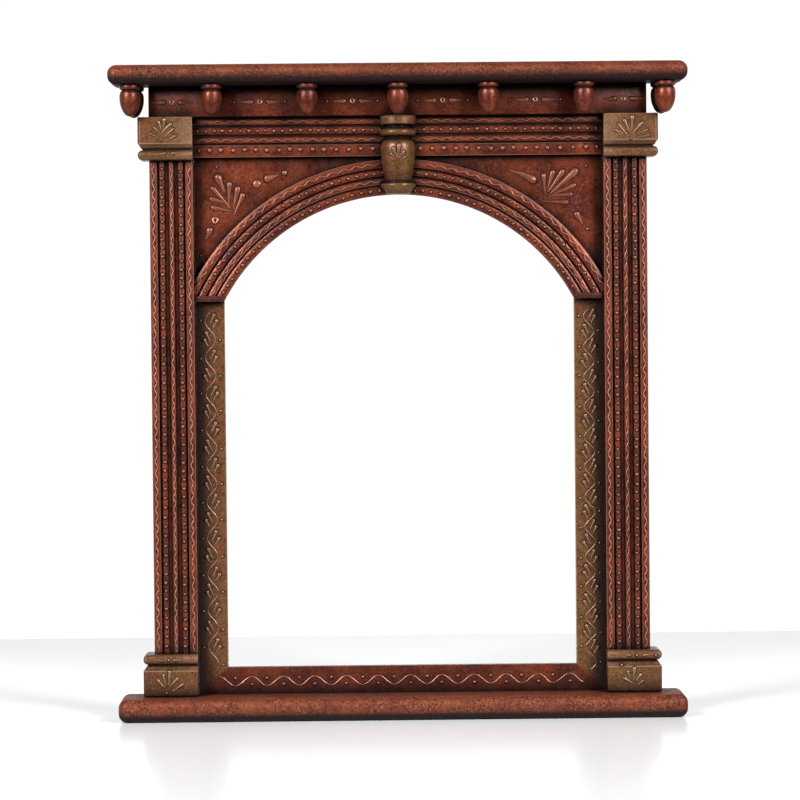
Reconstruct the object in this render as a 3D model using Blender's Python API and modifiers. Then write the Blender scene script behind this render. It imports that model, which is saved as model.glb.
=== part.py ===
"""A small free-standing arched frame in carved and painted wood, with raised paste ornament.

Lengths are in metres, +Z is up and the front faces -Y. The origin is the middle of the underside.
All the upright pieces share one flat back, and their depths are measured forward from it.
"""

import math

import bmesh
import bpy
from mathutils import Matrix, Vector

# Clearance between touching pieces
GAP = 0.0003

# Heights of the stacked pieces, from the table up
BASE_THICKNESS = 0.0190
PEDESTAL_HEIGHT = 0.0339
PILASTER_HEIGHT = 0.3980
CAPITAL_HEIGHT = 0.0348
FRIEZE_HEIGHT = 0.0244
CORNICE_THICKNESS = 0.0160

# Widths, and how far one piece stands out past the one under it
CLEAR_WIDTH = 0.3312
PILASTER_REEDS = (0.0065, 0.0047, 0.0047, 0.0047, 0.0065)
PILASTER_HOLLOWS = (0.0012, 0.0029, 0.0029, 0.0012)
BLOCK_OVERHANG = 0.0087
BASE_OVERHANG = 0.0194
CORNICE_OVERHANG = 0.0227

# Depths, measured forward from the back
BOARD_DEPTH = 0.046
BLOCK_DEPTH = 0.026
PILASTER_DEPTH = 0.018
FRIEZE_DEPTH = 0.018
PANEL_THICKNESS = 0.007
MOULDING_THICKNESS = 0.0067

# Rounding and reeding
BULLNOSE = 0.0072
BULLNOSE_STEPS = 4
BULLNOSE_LIMIT = 0.45
REED_RISE = 0.0022
REED_STEPS = 4

# Pedestals and capitals: a block, a groove and a half-round
ARRIS = 0.0009
GROOVE_HEIGHT = 0.0024
ROUND_HEIGHT = 0.0083
ROUND_BULGE = 0.0036
ROUND_STEPS = 5
ROUND_LIMIT = 0.9
CORNER_RADIUS = 0.0025
CORNER_STEPS = 2

# Architrave, its reeds from the top edge down
ARCHITRAVE_REEDS = (0.0058, 0.0062, 0.0054, 0.0094)
ARCHITRAVE_HOLLOWS = (0.0014, 0.0018, 0.0024)

# Arch, its reeds from the opening outward
OPENING_WIDTH = 0.2834
ARCH_RISE = 0.0848
ARCH_REEDS = (0.0073, 0.0055, 0.0059, 0.0074)
ARCH_HOLLOWS = (0.0010, 0.0008, 0.0007)
ARCH_OVERRUN = math.radians(5)
ARCH_STEPS = 26
CROWN_STRIP = 0.0024
PAD_HEIGHT = 0.0045
PAD_DROP = 0.0005
PAD_PROUD = 0.0003
RAIL_HEIGHT = 0.0213

# Turned drops under the cornice, and the turned keystone
DROP_SHARES = (-1.0, -0.696, -0.339, 0.0, 0.339, 0.696, 1.0)
DROP_OVERHANG = 0.0051
REAR_DROP_OVERHANG = 0.0034
DROP_SETBACK = 0.012
DROP_LENGTH = 0.0250
DROP_RADIUS = 0.0084
DROP_STEPS = 12
KEYSTONE_LENGTH = 0.0630
KEYSTONE_RADIUS = 0.0149
KEYSTONE_TOP_MARGIN = 0.0003
KEYSTONE_STEPS = 24

# Raised paste ornament
SUNK = 0.0003
LINE_HALF_WIDTH = 0.0008
LINE_RISE = 0.0009
PETAL_RISE = 0.0010
TIP_RADIUS = 0.0004
LEAF_RADIUS = 0.0011
DOT_RADIUS = 0.0010
PEDESTAL_LEAF_START = 0.0034
CAPITAL_LEAF_START = 0.0018
MOTIF_RING = 0.0022
MOTIF_LEAF = (0.0062, 0.0145)
MOTIF_LEAF_RADIUS = 0.0015
MOTIF_DOT = 0.0205
HEAD_STEPS = 5
DOT_STEPS = 6

# A petal's reach, radius and root as shares of its palmette's length, and how much the outer ones lose
PETAL_RADIUS = 0.062
PETAL_RADIUS_LOSS = 0.018
PETAL_REACH_LOSS = 0.5
PETAL_FALL = 0.8
PETAL_ROOT = 0.12

# Palmettes: lean, length as a share of what carries them, petals, angle between petals, thickness
PEDESTAL_PALMETTE = (math.radians(86), 0.60, 5, math.radians(-32), 1.5)
CAPITAL_PALMETTE = (math.radians(86), 0.68, 7, math.radians(-25), 1.2)
KEYSTONE_PALMETTE = (math.radians(88), 0.20, 5, math.radians(-30), 1.6)
LEFT_PALMETTE = (math.radians(113), 0.47, 7, math.radians(-18), 1.0)
RIGHT_PALMETTE = (math.radians(42), 0.51, 7, math.radians(-18), 1.0)
BLOCK_PALMETTE_ROOT = 0.24
KEYSTONE_PALMETTE_ROOT = 0.55
BLOCK_LEAF = 0.23
MOTIF_LEVEL = 0.48

# Spandrel ornament, as shares of the way from the top corner to the arch: inward, down and radius
LEFT_ROOT = (0.50, 0.68)
RIGHT_ROOT = (0.72, 0.55)
LEFT_DOTS = (
    (0.28, 0.11, 0.015),
    (0.80, 0.33, 0.028),
    (1.15, 0.20, 0.016),
    (0.27, 0.79, 0.030),
    (0.08, 1.235, 0.017),
)
RIGHT_DOTS = ((0.20, 0.14, 0.015), (0.20, 0.94, 0.024))
LEFT_LEAVES = (((0.90, 0.27), (1.08, 0.22)), ((0.20, 0.91), (0.13, 1.05)))
RIGHT_LEAVES = (((0.87, 0.325), (1.21, 0.17)), ((0.32, 0.77), (0.235, 0.90)))
SPANDREL_LEAF_RADIUS = 0.024

# Vine on the stiles, whose swing and buds are shares of a stile's width
VINE_SWING = 0.182
VINE_DOT = 0.153
BUD_RADIUS = 0.055
VINE_PERIOD_LEFT = 0.0303
VINE_PERIOD_RIGHT = 0.0240
VINE_FOOT = 0.0165
VINE_HEAD = 0.0085

# Wave on the rail
WAVE_SWING = 0.0033
WAVE_PERIOD = 0.0240
WAVE_RISE = 0.0103
WAVE_STEPS = 6
WAVE_DOT = 0.0017
WAVE_DOT_REACH = 0.7
WAVE_END_MARGIN = 0.002

# Two buds in each hollow of the vine: how far out and up from the turn the head and the tail are
VINE_BUDS = (
    ((0.40, 0.0), (0.255, -0.245)),
    ((0.33, 0.23), (0.17, -0.093)),
)

# Widths and heights that follow from the sizes above
BACK = BOARD_DEPTH / 2
PILASTER_WIDTH = sum(PILASTER_REEDS) + sum(PILASTER_HOLLOWS)
PILASTER_OUTER = CLEAR_WIDTH / 2 + PILASTER_WIDTH
BLOCK_OUTER = PILASTER_OUTER + BLOCK_OVERHANG
INFILL_HALF = CLEAR_WIDTH / 2 - GAP
STILE_WIDTH = INFILL_HALF - OPENING_WIDTH / 2
DROP_REACH = BLOCK_OUTER + DROP_OVERHANG
BLOCK_FRONT = BACK - BLOCK_DEPTH
FRIEZE_FRONT = BACK - FRIEZE_DEPTH
PANEL_FRONT = BACK - PANEL_THICKNESS
MOULDING_BACK = PANEL_FRONT - GAP
MOULDING_FRONT = MOULDING_BACK - MOULDING_THICKNESS

PEDESTAL_BOTTOM = BASE_THICKNESS + GAP
PILASTER_BOTTOM = PEDESTAL_BOTTOM + PEDESTAL_HEIGHT + GAP
CAPITAL_BOTTOM = PILASTER_BOTTOM + PILASTER_HEIGHT + GAP
FRIEZE_BOTTOM = CAPITAL_BOTTOM + CAPITAL_HEIGHT + GAP
CORNICE_BOTTOM = FRIEZE_BOTTOM + FRIEZE_HEIGHT + GAP
INFILL_TOP = FRIEZE_BOTTOM - GAP
ARCHITRAVE_BOTTOM = INFILL_TOP - sum(ARCHITRAVE_REEDS) - sum(ARCHITRAVE_HOLLOWS)

ARCH_BAND = sum(ARCH_REEDS) + sum(ARCH_HOLLOWS)
ARCH_CROWN = ARCHITRAVE_BOTTOM - CROWN_STRIP - ARCH_BAND
ARCH_SPRING = ARCH_CROWN - ARCH_RISE
INNER_RADIUS = ((OPENING_WIDTH / 2) ** 2 + ARCH_RISE**2) / (2 * ARCH_RISE)
ARCH_CENTRE = ARCH_CROWN - INNER_RADIUS
OUTER_RADIUS = INNER_RADIUS + ARCH_BAND
SPRING_ANGLE = math.asin(OPENING_WIDTH / 2 / INNER_RADIUS)
PANEL_BOTTOM = ARCH_SPRING - PAD_DROP
PAD_TOP = PANEL_BOTTOM + PAD_HEIGHT
RAIL_TOP = PEDESTAL_BOTTOM + RAIL_HEIGHT

# Turned profiles as (share of radius, share of length) pairs, from the top down
DROP_PROFILE = (
    (0.96, 0.0),
    (1.0, 0.06),
    (0.79, 0.16),
    (0.90, 0.23),
    (0.99, 0.38),
    (0.95, 0.58),
    (0.70, 0.81),
    (0.40, 0.955),
)
KEYSTONE_PROFILE = (
    (0.93, 0.0),
    (0.96, 0.012),
    (0.96, 0.10),
    (0.92, 0.113),
    (0.66, 0.12),
    (0.66, 0.155),
    (0.90, 0.17),
    (1.0, 0.21),
    (0.90, 0.25),
    (0.64, 0.265),
    (0.64, 0.285),
    (0.80, 0.32),
    (0.92, 0.37),
    (0.945, 0.43),
    (0.90, 0.58),
    (0.82, 0.72),
    (0.73, 0.82),
    (0.70, 0.848),
    (0.91, 0.867),
    (0.95, 0.885),
    (0.82, 0.94),
    (0.62, 1.0),
)

COPPER = (0.20, 0.045, 0.022, 1.0)
BRASS = (0.16, 0.075, 0.022, 1.0)


def clear_scene():
    for item in list(bpy.data.objects):
        bpy.data.objects.remove(item, do_unlink=True)


def make_material(name, colour, roughness, metallic):
    material = bpy.data.materials.new(name)
    material.use_nodes = True
    shader = material.node_tree.nodes["Principled BSDF"]
    shader.inputs["Base Color"].default_value = colour
    shader.inputs["Roughness"].default_value = roughness
    shader.inputs["Metallic"].default_value = metallic
    return material


def make_collection(name):
    collection = bpy.data.collections.new(name)
    bpy.context.scene.collection.children.link(collection)
    return collection


clear_scene()
PARTS = make_collection("archway")
CUTTERS = make_collection("archway_cutters")
RUBBED_COPPER = make_material("rubbed_copper_paint", COPPER, 0.38, 0.25)
ANTIQUE_BRASS = make_material("antique_brass_paint", BRASS, 0.42, 0.35)
FRAME = bpy.data.objects.new("archway_frame", None)
PARTS.objects.link(FRAME)


def add_object(name, mesh, material):
    """A named piece of the frame, made from a mesh."""
    piece = bpy.data.objects.new(name, mesh)
    piece.data.materials.append(material)
    piece.parent = FRAME
    PARTS.objects.link(piece)
    return piece


def add_cutter(name, mesh):
    """A guide shape for a Boolean, which isn't a piece itself."""
    cutter = bpy.data.objects.new(name, mesh)
    cutter.hide_render = True
    cutter.display_type = "WIRE"
    CUTTERS.objects.link(cutter)
    return cutter


def mesh_from(name, bm):
    bmesh.ops.recalc_face_normals(bm, faces=bm.faces)
    mesh = bpy.data.meshes.new(name)
    bm.to_mesh(mesh)
    bm.free()
    return mesh


def boolean(piece, cutter, operation, overlapping=False):
    modifier = piece.modifiers.new(operation.lower(), "BOOLEAN")
    modifier.object = cutter
    modifier.operation = operation
    modifier.use_self = overlapping


def smooth(piece, degrees):
    piece.data.shade_smooth()
    piece.data.set_sharp_from_angle(angle=math.radians(degrees))


def loft(bm, rings):
    """Joins rings of equally many points with walls, and closes both ends."""
    rows = [[bm.verts.new(point) for point in ring] for ring in rings]
    count = len(rows[0])
    for lower, upper in zip(rows, rows[1:]):
        for i in range(count):
            j = (i + 1) % count
            bm.faces.new((lower[i], lower[j], upper[j], upper[i]))
    bm.faces.new(rows[0])
    bm.faces.new(rows[-1])


def box_mesh(name, low, high):
    bm = bmesh.new()
    bmesh.ops.create_cube(bm, size=1)
    size = [b - a for a, b in zip(low, high)]
    centre = [(a + b) / 2 for a, b in zip(low, high)]
    bmesh.ops.scale(bm, vec=size, verts=bm.verts)
    bmesh.ops.translate(bm, vec=centre, verts=bm.verts)
    return mesh_from(name, bm)


def prism_mesh(name, outline, length, matrix):
    """A flat outline drawn in XY, extruded to a length centred on Z, then placed by a matrix."""
    curve = bpy.data.curves.new(name, "CURVE")
    curve.dimensions = "2D"
    curve.fill_mode = "BOTH"
    curve.extrude = length / 2
    spline = curve.splines.new("POLY")
    spline.points.add(len(outline) - 1)
    for point, (x, y) in zip(spline.points, outline):
        point.co = (x, y, 0, 1)
    spline.use_cyclic_u = True
    guide = bpy.data.objects.new(name, curve)
    CUTTERS.objects.link(guide)
    graph = bpy.context.evaluated_depsgraph_get()
    mesh = bpy.data.meshes.new_from_object(guide.evaluated_get(graph))
    bpy.data.objects.remove(guide, do_unlink=True)
    bm = bmesh.new()
    bm.from_mesh(mesh)
    bmesh.ops.remove_doubles(bm, verts=bm.verts, dist=0.00001)
    bmesh.ops.transform(bm, matrix=matrix, verts=bm.verts)
    bpy.data.meshes.remove(mesh)
    return mesh_from(name, bm)


def panel_mesh(name, outline, front, back):
    """A flat outline drawn in XZ, as thick as from its front to its back."""
    matrix = Matrix.Translation((0, (front + back) / 2, 0)) @ Matrix.Rotation(math.pi / 2, 4, "X")
    return prism_mesh(name, outline, back - front, matrix)


def reeded_outline(reeds, hollows, thickness):
    """(across, height) points over a strip of half-round reeds, then along its flat back."""
    outline = []
    floor = thickness - REED_RISE
    start = 0.0
    for reed, hollow in zip(reeds, tuple(hollows) + (0.0,)):
        for step in range(REED_STEPS + 1):
            angle = math.pi * step / REED_STEPS
            across = start + reed / 2 * (1 - math.cos(angle))
            outline.append((across, floor + REED_RISE * math.sin(angle)))
        start += reed + hollow
    return outline + [(start, 0.0), (0.0, 0.0)]


def add_board(name, overhang, thickness, bottom):
    """A board with a bullnose along its front and both ends, and a plain back."""
    length = 2 * (BLOCK_OUTER + overhang)
    bm = bmesh.new()
    bmesh.ops.create_cube(bm, size=1)
    bmesh.ops.scale(bm, vec=(length, BOARD_DEPTH, thickness), verts=bm.verts)
    bmesh.ops.translate(bm, vec=(0, 0, bottom + thickness / 2), verts=bm.verts)
    worked = [edge for edge in bm.edges if min(vertex.co.y for vertex in edge.verts) < 0]
    bmesh.ops.bevel(
        bm,
        geom=worked,
        offset=min(BULLNOSE, BULLNOSE_LIMIT * thickness),
        segments=BULLNOSE_STEPS,
        profile=0.5,
        affect="EDGES",
    )
    board = add_object(name, mesh_from(name, bm), RUBBED_COPPER)
    smooth(board, 35)


def block_levels(height):
    """(inset, height) pairs up a moulded block, from its foot to the top of its half-round."""
    face = height - GROOVE_HEIGHT - ROUND_HEIGHT
    levels = [(ARRIS, 0.0), (0.0, ARRIS), (0.0, face - ARRIS), (ARRIS, face)]
    levels.append((ROUND_BULGE, face + ARRIS / 2))
    for step in range(ROUND_STEPS + 1):
        angle = math.pi * step / ROUND_STEPS
        inset = ROUND_BULGE * (1 - math.sin(angle))
        rise = ROUND_HEIGHT / 2 * (1 - math.cos(angle))
        levels.append((inset, face + GROOVE_HEIGHT + rise))
    return levels


def block_ring(side, inset, height):
    """The block's outline at one level: flush inside and at the back, rounded at its outer corner."""
    outer = BLOCK_OUTER - inset
    front = BLOCK_FRONT + inset
    ring = [(CLEAR_WIDTH / 2, BACK), (CLEAR_WIDTH / 2, front)]
    for step in range(CORNER_STEPS + 1):
        angle = math.pi / 2 * step / CORNER_STEPS
        x = outer - CORNER_RADIUS * (1 - math.sin(angle))
        y = front + CORNER_RADIUS * (1 - math.cos(angle))
        ring.append((x, y))
    ring.append((outer, BACK))
    return [Vector((side * x, y, height)) for x, y in ring]


def flat(front):
    """A flat face to raise ornament on."""
    return lambda x, z: front


def half_round(middle):
    """The front of a block's half-round, whose middle height is given."""

    def depth(x, z):
        share = max(-ROUND_LIMIT, min(ROUND_LIMIT, (z - middle) / (ROUND_HEIGHT / 2)))
        return BLOCK_FRONT + ROUND_BULGE * (1 - math.sqrt(1 - share**2))

    return depth


def raise_shape(bm, surface, outline, peak):
    """A low raised shape whose sides rise to one peak. Its foot is sunk in the surface, and is drawn
    larger by so much that its outline comes out true where it meets the surface."""
    grow = (PETAL_RISE + SUNK) / PETAL_RISE
    ring = []
    for point in outline:
        foot = peak + grow * (point - peak)
        ring.append(bm.verts.new((foot.x, surface(foot.x, foot.y) + SUNK, foot.y)))
    top = bm.verts.new((peak.x, surface(peak.x, peak.y) - PETAL_RISE, peak.y))
    bm.faces.new(ring)
    for start, end in zip(ring, ring[1:] + ring[:1]):
        bm.faces.new((start, end, top))


def petal_outline(head, tail, radius, tip):
    """A round head and a narrow blunt tail, as points in XZ."""
    along = tail - head
    turn = math.atan2(along.y, along.x)
    lean = math.acos(min(1.0, (radius - tip) / along.length))
    outline = []
    for step in range(HEAD_STEPS):
        angle = turn + lean + (2 * math.pi - 2 * lean) * step / (HEAD_STEPS - 1)
        outline.append(head + radius * Vector((math.cos(angle), math.sin(angle))))
    for angle in (turn - lean, turn + lean):
        outline.append(tail + tip * Vector((math.cos(angle), math.sin(angle))))
    return outline


def raise_petal(bm, surface, head, tail, radius):
    raise_shape(bm, surface, petal_outline(head, tail, radius, TIP_RADIUS), head)


def raise_dot(bm, surface, middle, radius):
    outline = []
    for step in range(DOT_STEPS):
        angle = 2 * math.pi * step / DOT_STEPS
        outline.append(middle + radius * Vector((math.cos(angle), math.sin(angle))))
    raise_shape(bm, surface, outline, middle)


def raise_palmette(bm, surface, root, carrier, palmette):
    """A fan of petals from one root: the middle one is the longest, and the outer ones half of it."""
    lean, share_of_carrier, petals, spread, thin = palmette
    length = share_of_carrier * carrier
    middle = (petals - 1) / 2
    for i in range(petals):
        share = abs(i - middle) / middle
        angle = lean + spread * (i - middle)
        reach = length * (1 - PETAL_REACH_LOSS * share**PETAL_FALL)
        way = Vector((math.cos(angle), math.sin(angle)))
        radius = thin * length * (PETAL_RADIUS - PETAL_RADIUS_LOSS * share)
        raise_petal(bm, surface, root + reach * way, root + PETAL_ROOT * length * way, radius)


def raise_line(bm, surface, points):
    """A low ridge along a line of points in XZ."""
    rings = []
    for i, point in enumerate(points):
        before = points[max(i - 1, 0)]
        after = points[min(i + 1, len(points) - 1)]
        way = (after - before).normalized()
        across = LINE_HALF_WIDTH * Vector((-way.y, way.x))
        left, right = point + across, point - across
        face = surface(point.x, point.y)
        rings.append(
            [
                Vector((left.x, face + SUNK, left.y)),
                Vector((point.x, face - LINE_RISE, point.y)),
                Vector((right.x, face + SUNK, right.y)),
            ]
        )
    loft(bm, rings)


def add_ornament(piece, bm):
    """Unites raised ornament, whose shapes may cross, with the piece that carries it."""
    name = piece.name + "_ornament"
    boolean(piece, add_cutter(name, mesh_from(name, bm)), "UNION", overlapping=True)


def add_block(name, side, bottom, height, upright):
    """A pedestal, or with its moulding turned over a capital, with a palmette and leaves in relief."""
    bm = bmesh.new()
    rings = []
    for inset, rise in block_levels(height):
        level = bottom + (rise if upright else height - rise)
        rings.append(block_ring(side, inset, level))
    loft(bm, rings)
    block = add_object(name, mesh_from(name, bm), ANTIQUE_BRASS)
    smooth(block, 35)

    face = height - GROOVE_HEIGHT - ROUND_HEIGHT
    face_bottom = bottom if upright else bottom + height - face
    round_middle = bottom + (height - ROUND_HEIGHT / 2 if upright else ROUND_HEIGHT / 2)
    centre = side * (CLEAR_WIDTH / 2 + BLOCK_OUTER) / 2
    leaf = BLOCK_LEAF * (BLOCK_OUTER - CLEAR_WIDTH / 2)
    bm = bmesh.new()
    root = Vector((centre, face_bottom + BLOCK_PALMETTE_ROOT * face))
    if upright:
        raise_palmette(bm, flat(BLOCK_FRONT), root, face, PEDESTAL_PALMETTE)
        raise_dot(bm, half_round(round_middle), Vector((centre, round_middle)), LEAF_RADIUS)
        start = PEDESTAL_LEAF_START
    else:
        raise_palmette(bm, flat(BLOCK_FRONT), root, face, CAPITAL_PALMETTE)
        start = CAPITAL_LEAF_START
    for way in (-1, 1):
        head = Vector((centre + way * start, round_middle))
        tail = Vector((centre + way * (start + leaf), round_middle))
        raise_petal(bm, half_round(round_middle), head, tail, LEAF_RADIUS)
    add_ornament(block, bm)


def add_pilaster(name, side):
    """An upright bar with five half-round reeds on its front."""
    outline = []
    for across, height in reeded_outline(PILASTER_REEDS, PILASTER_HOLLOWS, PILASTER_DEPTH):
        outline.append((side * (CLEAR_WIDTH / 2 + across), BACK - height))
    middle = PILASTER_BOTTOM + PILASTER_HEIGHT / 2
    mesh = prism_mesh(name, outline, PILASTER_HEIGHT, Matrix.Translation((0, 0, middle)))
    smooth(add_object(name, mesh, RUBBED_COPPER), 50)


def bay_motif(bm, surface, middle, height, dots):
    """A ring between two leaves whose tips point outward, with a dot past each tip."""
    raise_dot(bm, surface, Vector((middle, height)), MOTIF_RING)
    for way in (-1, 1):
        head, tail = [Vector((middle + way * reach, height)) for reach in MOTIF_LEAF]
        raise_petal(bm, surface, head, tail, MOTIF_LEAF_RADIUS)
        if dots:
            raise_dot(bm, surface, Vector((middle + way * MOTIF_DOT, height)), DOT_RADIUS)


def add_frieze():
    """The board behind the drops, with one motif in each bay between them."""
    low = (-PILASTER_OUTER, FRIEZE_FRONT, FRIEZE_BOTTOM)
    high = (PILASTER_OUTER, BACK, FRIEZE_BOTTOM + FRIEZE_HEIGHT)
    frieze = add_object("frieze_board", box_mesh("frieze_board", low, high), RUBBED_COPPER)
    bm = bmesh.new()
    bays = list(zip(DROP_SHARES, DROP_SHARES[1:]))
    for i, (left, right) in enumerate(bays):
        height = FRIEZE_BOTTOM + MOTIF_LEVEL * FRIEZE_HEIGHT
        inner = 0 < i < len(bays) - 1
        bay_motif(bm, flat(FRIEZE_FRONT), DROP_REACH * (left + right) / 2, height, inner)
    add_ornament(frieze, bm)


def add_architrave():
    """The straight strip of four reeds between the capitals."""
    outline = []
    for across, height in reeded_outline(ARCHITRAVE_REEDS, ARCHITRAVE_HOLLOWS, MOULDING_THICKNESS):
        outline.append((INFILL_TOP - across, MOULDING_BACK - height))
    turn = Matrix.Rotation(-math.pi / 2, 4, "Y")
    mesh = prism_mesh("architrave", outline, 2 * INFILL_HALF, turn)
    smooth(add_object("architrave", mesh, RUBBED_COPPER), 50)


def inner_arc(angle):
    """A point on the edge of the opening, at an angle from the crown."""
    return (INNER_RADIUS * math.sin(angle), ARCH_CENTRE + INNER_RADIUS * math.cos(angle))


def add_arch_moulding():
    """The curved strip of four reeds, which ends on plain pads."""
    profile = reeded_outline(ARCH_REEDS, ARCH_HOLLOWS, MOULDING_THICKNESS)
    end = SPRING_ANGLE + ARCH_OVERRUN
    rings = []
    for step in range(ARCH_STEPS + 1):
        angle = end * (2 * step / ARCH_STEPS - 1)
        ring = []
        for across, height in profile:
            reach = INNER_RADIUS + across
            x = reach * math.sin(angle)
            z = ARCH_CENTRE + reach * math.cos(angle)
            y = MOULDING_BACK - height if height else MOULDING_BACK + PAD_PROUD
            ring.append(Vector((x, y, z)))
        rings.append(ring)
    bm = bmesh.new()
    loft(bm, rings)
    arch = add_object("arch_moulding", mesh_from("arch_moulding", bm), RUBBED_COPPER)

    cosine = (PAD_TOP - ARCH_CENTRE) / INNER_RADIUS
    inside = INNER_RADIUS * math.sqrt(1 - cosine**2)
    outside = INFILL_HALF + PAD_HEIGHT
    below = PANEL_BOTTOM - PAD_HEIGHT
    for side in (-1, 1):
        outline = [
            (side * outside, below),
            (side * (OPENING_WIDTH / 2 - PAD_PROUD), below),
            (side * (OPENING_WIDTH / 2 - PAD_PROUD), ARCH_SPRING),
            (side * (inside - PAD_PROUD), PAD_TOP),
            (side * outside, PAD_TOP),
        ]
        name = "arch_pad_left" if side < 0 else "arch_pad_right"
        pad = panel_mesh(name, outline, MOULDING_FRONT - PAD_PROUD, MOULDING_BACK + PAD_PROUD)
        boolean(arch, add_cutter(name, pad), "UNION")
    low = (-INFILL_HALF, MOULDING_FRONT - MOULDING_THICKNESS, PANEL_BOTTOM)
    high = (INFILL_HALF, MOULDING_BACK, ARCHITRAVE_BOTTOM)
    boolean(arch, add_cutter("arch_limits", box_mesh("arch_limits", low, high)), "INTERSECT")
    smooth(arch, 50)


def spandrel_point(side, inward, down):
    """A place on the panel, as shares of the way from its top corner to the arch."""
    corner = Vector((side * CLEAR_WIDTH / 2, ARCHITRAVE_BOTTOM))
    span = (corner - Vector((0, ARCH_CENTRE))).length - OUTER_RADIUS
    return corner + span * Vector((-side * inward, -down)), span


def raise_spandrel(bm, surface, side, root, palmette, dots, leaves):
    """The palmette, dots and leaves in one of the panel's top corners."""
    place, span = spandrel_point(side, *root)
    raise_palmette(bm, surface, place, span, palmette)
    for inward, down, size in dots:
        raise_dot(bm, surface, spandrel_point(side, inward, down)[0], size * span)
    for leaf in leaves:
        head, tail = [spandrel_point(side, inward, down)[0] for inward, down in leaf]
        raise_petal(bm, surface, head, tail, SPANDREL_LEAF_RADIUS * span)


def add_spandrel_panel():
    """The flat panel with the arch cut in it, and its raised palmettes, drops and dots."""
    outline = [(-INFILL_HALF, INFILL_TOP), (-INFILL_HALF, PANEL_BOTTOM)]
    outline.append((-OPENING_WIDTH / 2, PANEL_BOTTOM))
    for step in range(ARCH_STEPS + 1):
        outline.append(inner_arc(SPRING_ANGLE * (2 * step / ARCH_STEPS - 1)))
    outline.append((OPENING_WIDTH / 2, PANEL_BOTTOM))
    outline += [(INFILL_HALF, PANEL_BOTTOM), (INFILL_HALF, INFILL_TOP)]
    mesh = panel_mesh("spandrel_panel", outline, PANEL_FRONT, BACK)
    panel = add_object("spandrel_panel", mesh, RUBBED_COPPER)
    bm = bmesh.new()
    surface = flat(PANEL_FRONT)
    raise_spandrel(bm, surface, -1, LEFT_ROOT, LEFT_PALMETTE, LEFT_DOTS, LEFT_LEAVES)
    raise_spandrel(bm, surface, 1, RIGHT_ROOT, RIGHT_PALMETTE, RIGHT_DOTS, RIGHT_LEAVES)
    add_ornament(panel, bm)


def wave_points(start, end, period, swing, place):
    """Points along a wave between two distances, turned into XZ by a function."""
    turns = max(1, round((end - start) / period))
    count = turns * WAVE_STEPS
    points = []
    for step in range(count + 1):
        along = start + (end - start) * step / count
        points.append(place(along, swing * math.sin(2 * math.pi * turns * step / count)))
    return points, turns


def add_stile(name, side, period):
    """The upright strip beside the opening, with a budding vine in relief and a mitred foot."""
    inner, outer = side * OPENING_WIDTH / 2, side * INFILL_HALF
    top = PANEL_BOTTOM - GAP
    mitre = STILE_WIDTH / RAIL_HEIGHT
    lift = GAP * math.hypot(1, mitre) / mitre
    outline = [(inner, top), (inner, RAIL_TOP + lift), (outer, PEDESTAL_BOTTOM + lift), (outer, top)]
    stile = add_object(name, panel_mesh(name, outline, PANEL_FRONT, BACK), ANTIQUE_BRASS)

    middle = (inner + outer) / 2
    surface = flat(PANEL_FRONT)
    start, end = PEDESTAL_BOTTOM + VINE_FOOT, top - VINE_HEAD
    bm = bmesh.new()
    swing = VINE_SWING * STILE_WIDTH
    points, turns = wave_points(start, end, period, swing, lambda z, x: Vector((middle + x, z)))
    raise_line(bm, surface, points)
    for i in range(2 * turns):
        way = 1 if i % 2 == 0 else -1
        turn = Vector((middle + way * swing, start + (end - start) * (i + 0.5) / (2 * turns)))
        raise_dot(bm, surface, turn + Vector((way * VINE_DOT * STILE_WIDTH, 0)), DOT_RADIUS)
        if i == 0:
            continue
        for head, tail in VINE_BUDS:
            ends = [turn + STILE_WIDTH * Vector((-way * out, up)) for out, up in (head, tail)]
            raise_petal(bm, surface, *ends, BUD_RADIUS * STILE_WIDTH)
    add_ornament(stile, bm)


def add_bottom_rail():
    """The strip under the opening, mitred to the stiles, with a wave and dots in relief."""
    bottom, half = PEDESTAL_BOTTOM, OPENING_WIDTH / 2
    outline = [(half, RAIL_TOP), (-half, RAIL_TOP), (-INFILL_HALF, bottom), (INFILL_HALF, bottom)]
    mesh = panel_mesh("bottom_rail", outline, PANEL_FRONT, BACK)
    rail = add_object("bottom_rail", mesh, RUBBED_COPPER)
    middle = bottom + WAVE_RISE
    end = half - WAVE_END_MARGIN
    surface = flat(PANEL_FRONT)
    bm = bmesh.new()

    def place(x, z):
        return Vector((x, middle + z))

    points, turns = wave_points(-end, end, WAVE_PERIOD, WAVE_SWING, place)
    raise_line(bm, surface, points)
    for i in range(2 * turns):
        way = 1 if i % 2 == 0 else -1
        x = -end + 2 * end * (i + 0.5) / (2 * turns)
        raise_dot(bm, surface, Vector((x, middle - way * WAVE_DOT_REACH * WAVE_SWING)), WAVE_DOT)
    add_ornament(rail, bm)


def turned(name, profile, radius, length, steps, material):
    """A turned piece that hangs down from its own origin."""
    bm = bmesh.new()
    places = [(0.0, 0.0)] + [(radius * r, -length * z) for r, z in profile] + [(0.0, -length)]
    verts = [bm.verts.new((x, 0, z)) for x, z in places]
    for upper, lower in zip(verts, verts[1:]):
        bm.edges.new((upper, lower))
    mesh = bpy.data.meshes.new(name)
    bm.to_mesh(mesh)
    bm.free()
    piece = add_object(name, mesh, material)
    screw = piece.modifiers.new("turn", "SCREW")
    screw.axis = "Z"
    screw.steps = steps
    screw.render_steps = steps
    screw.use_merge_vertices = True
    screw.merge_threshold = 0.00001
    screw.use_smooth_shade = True
    return piece


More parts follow.
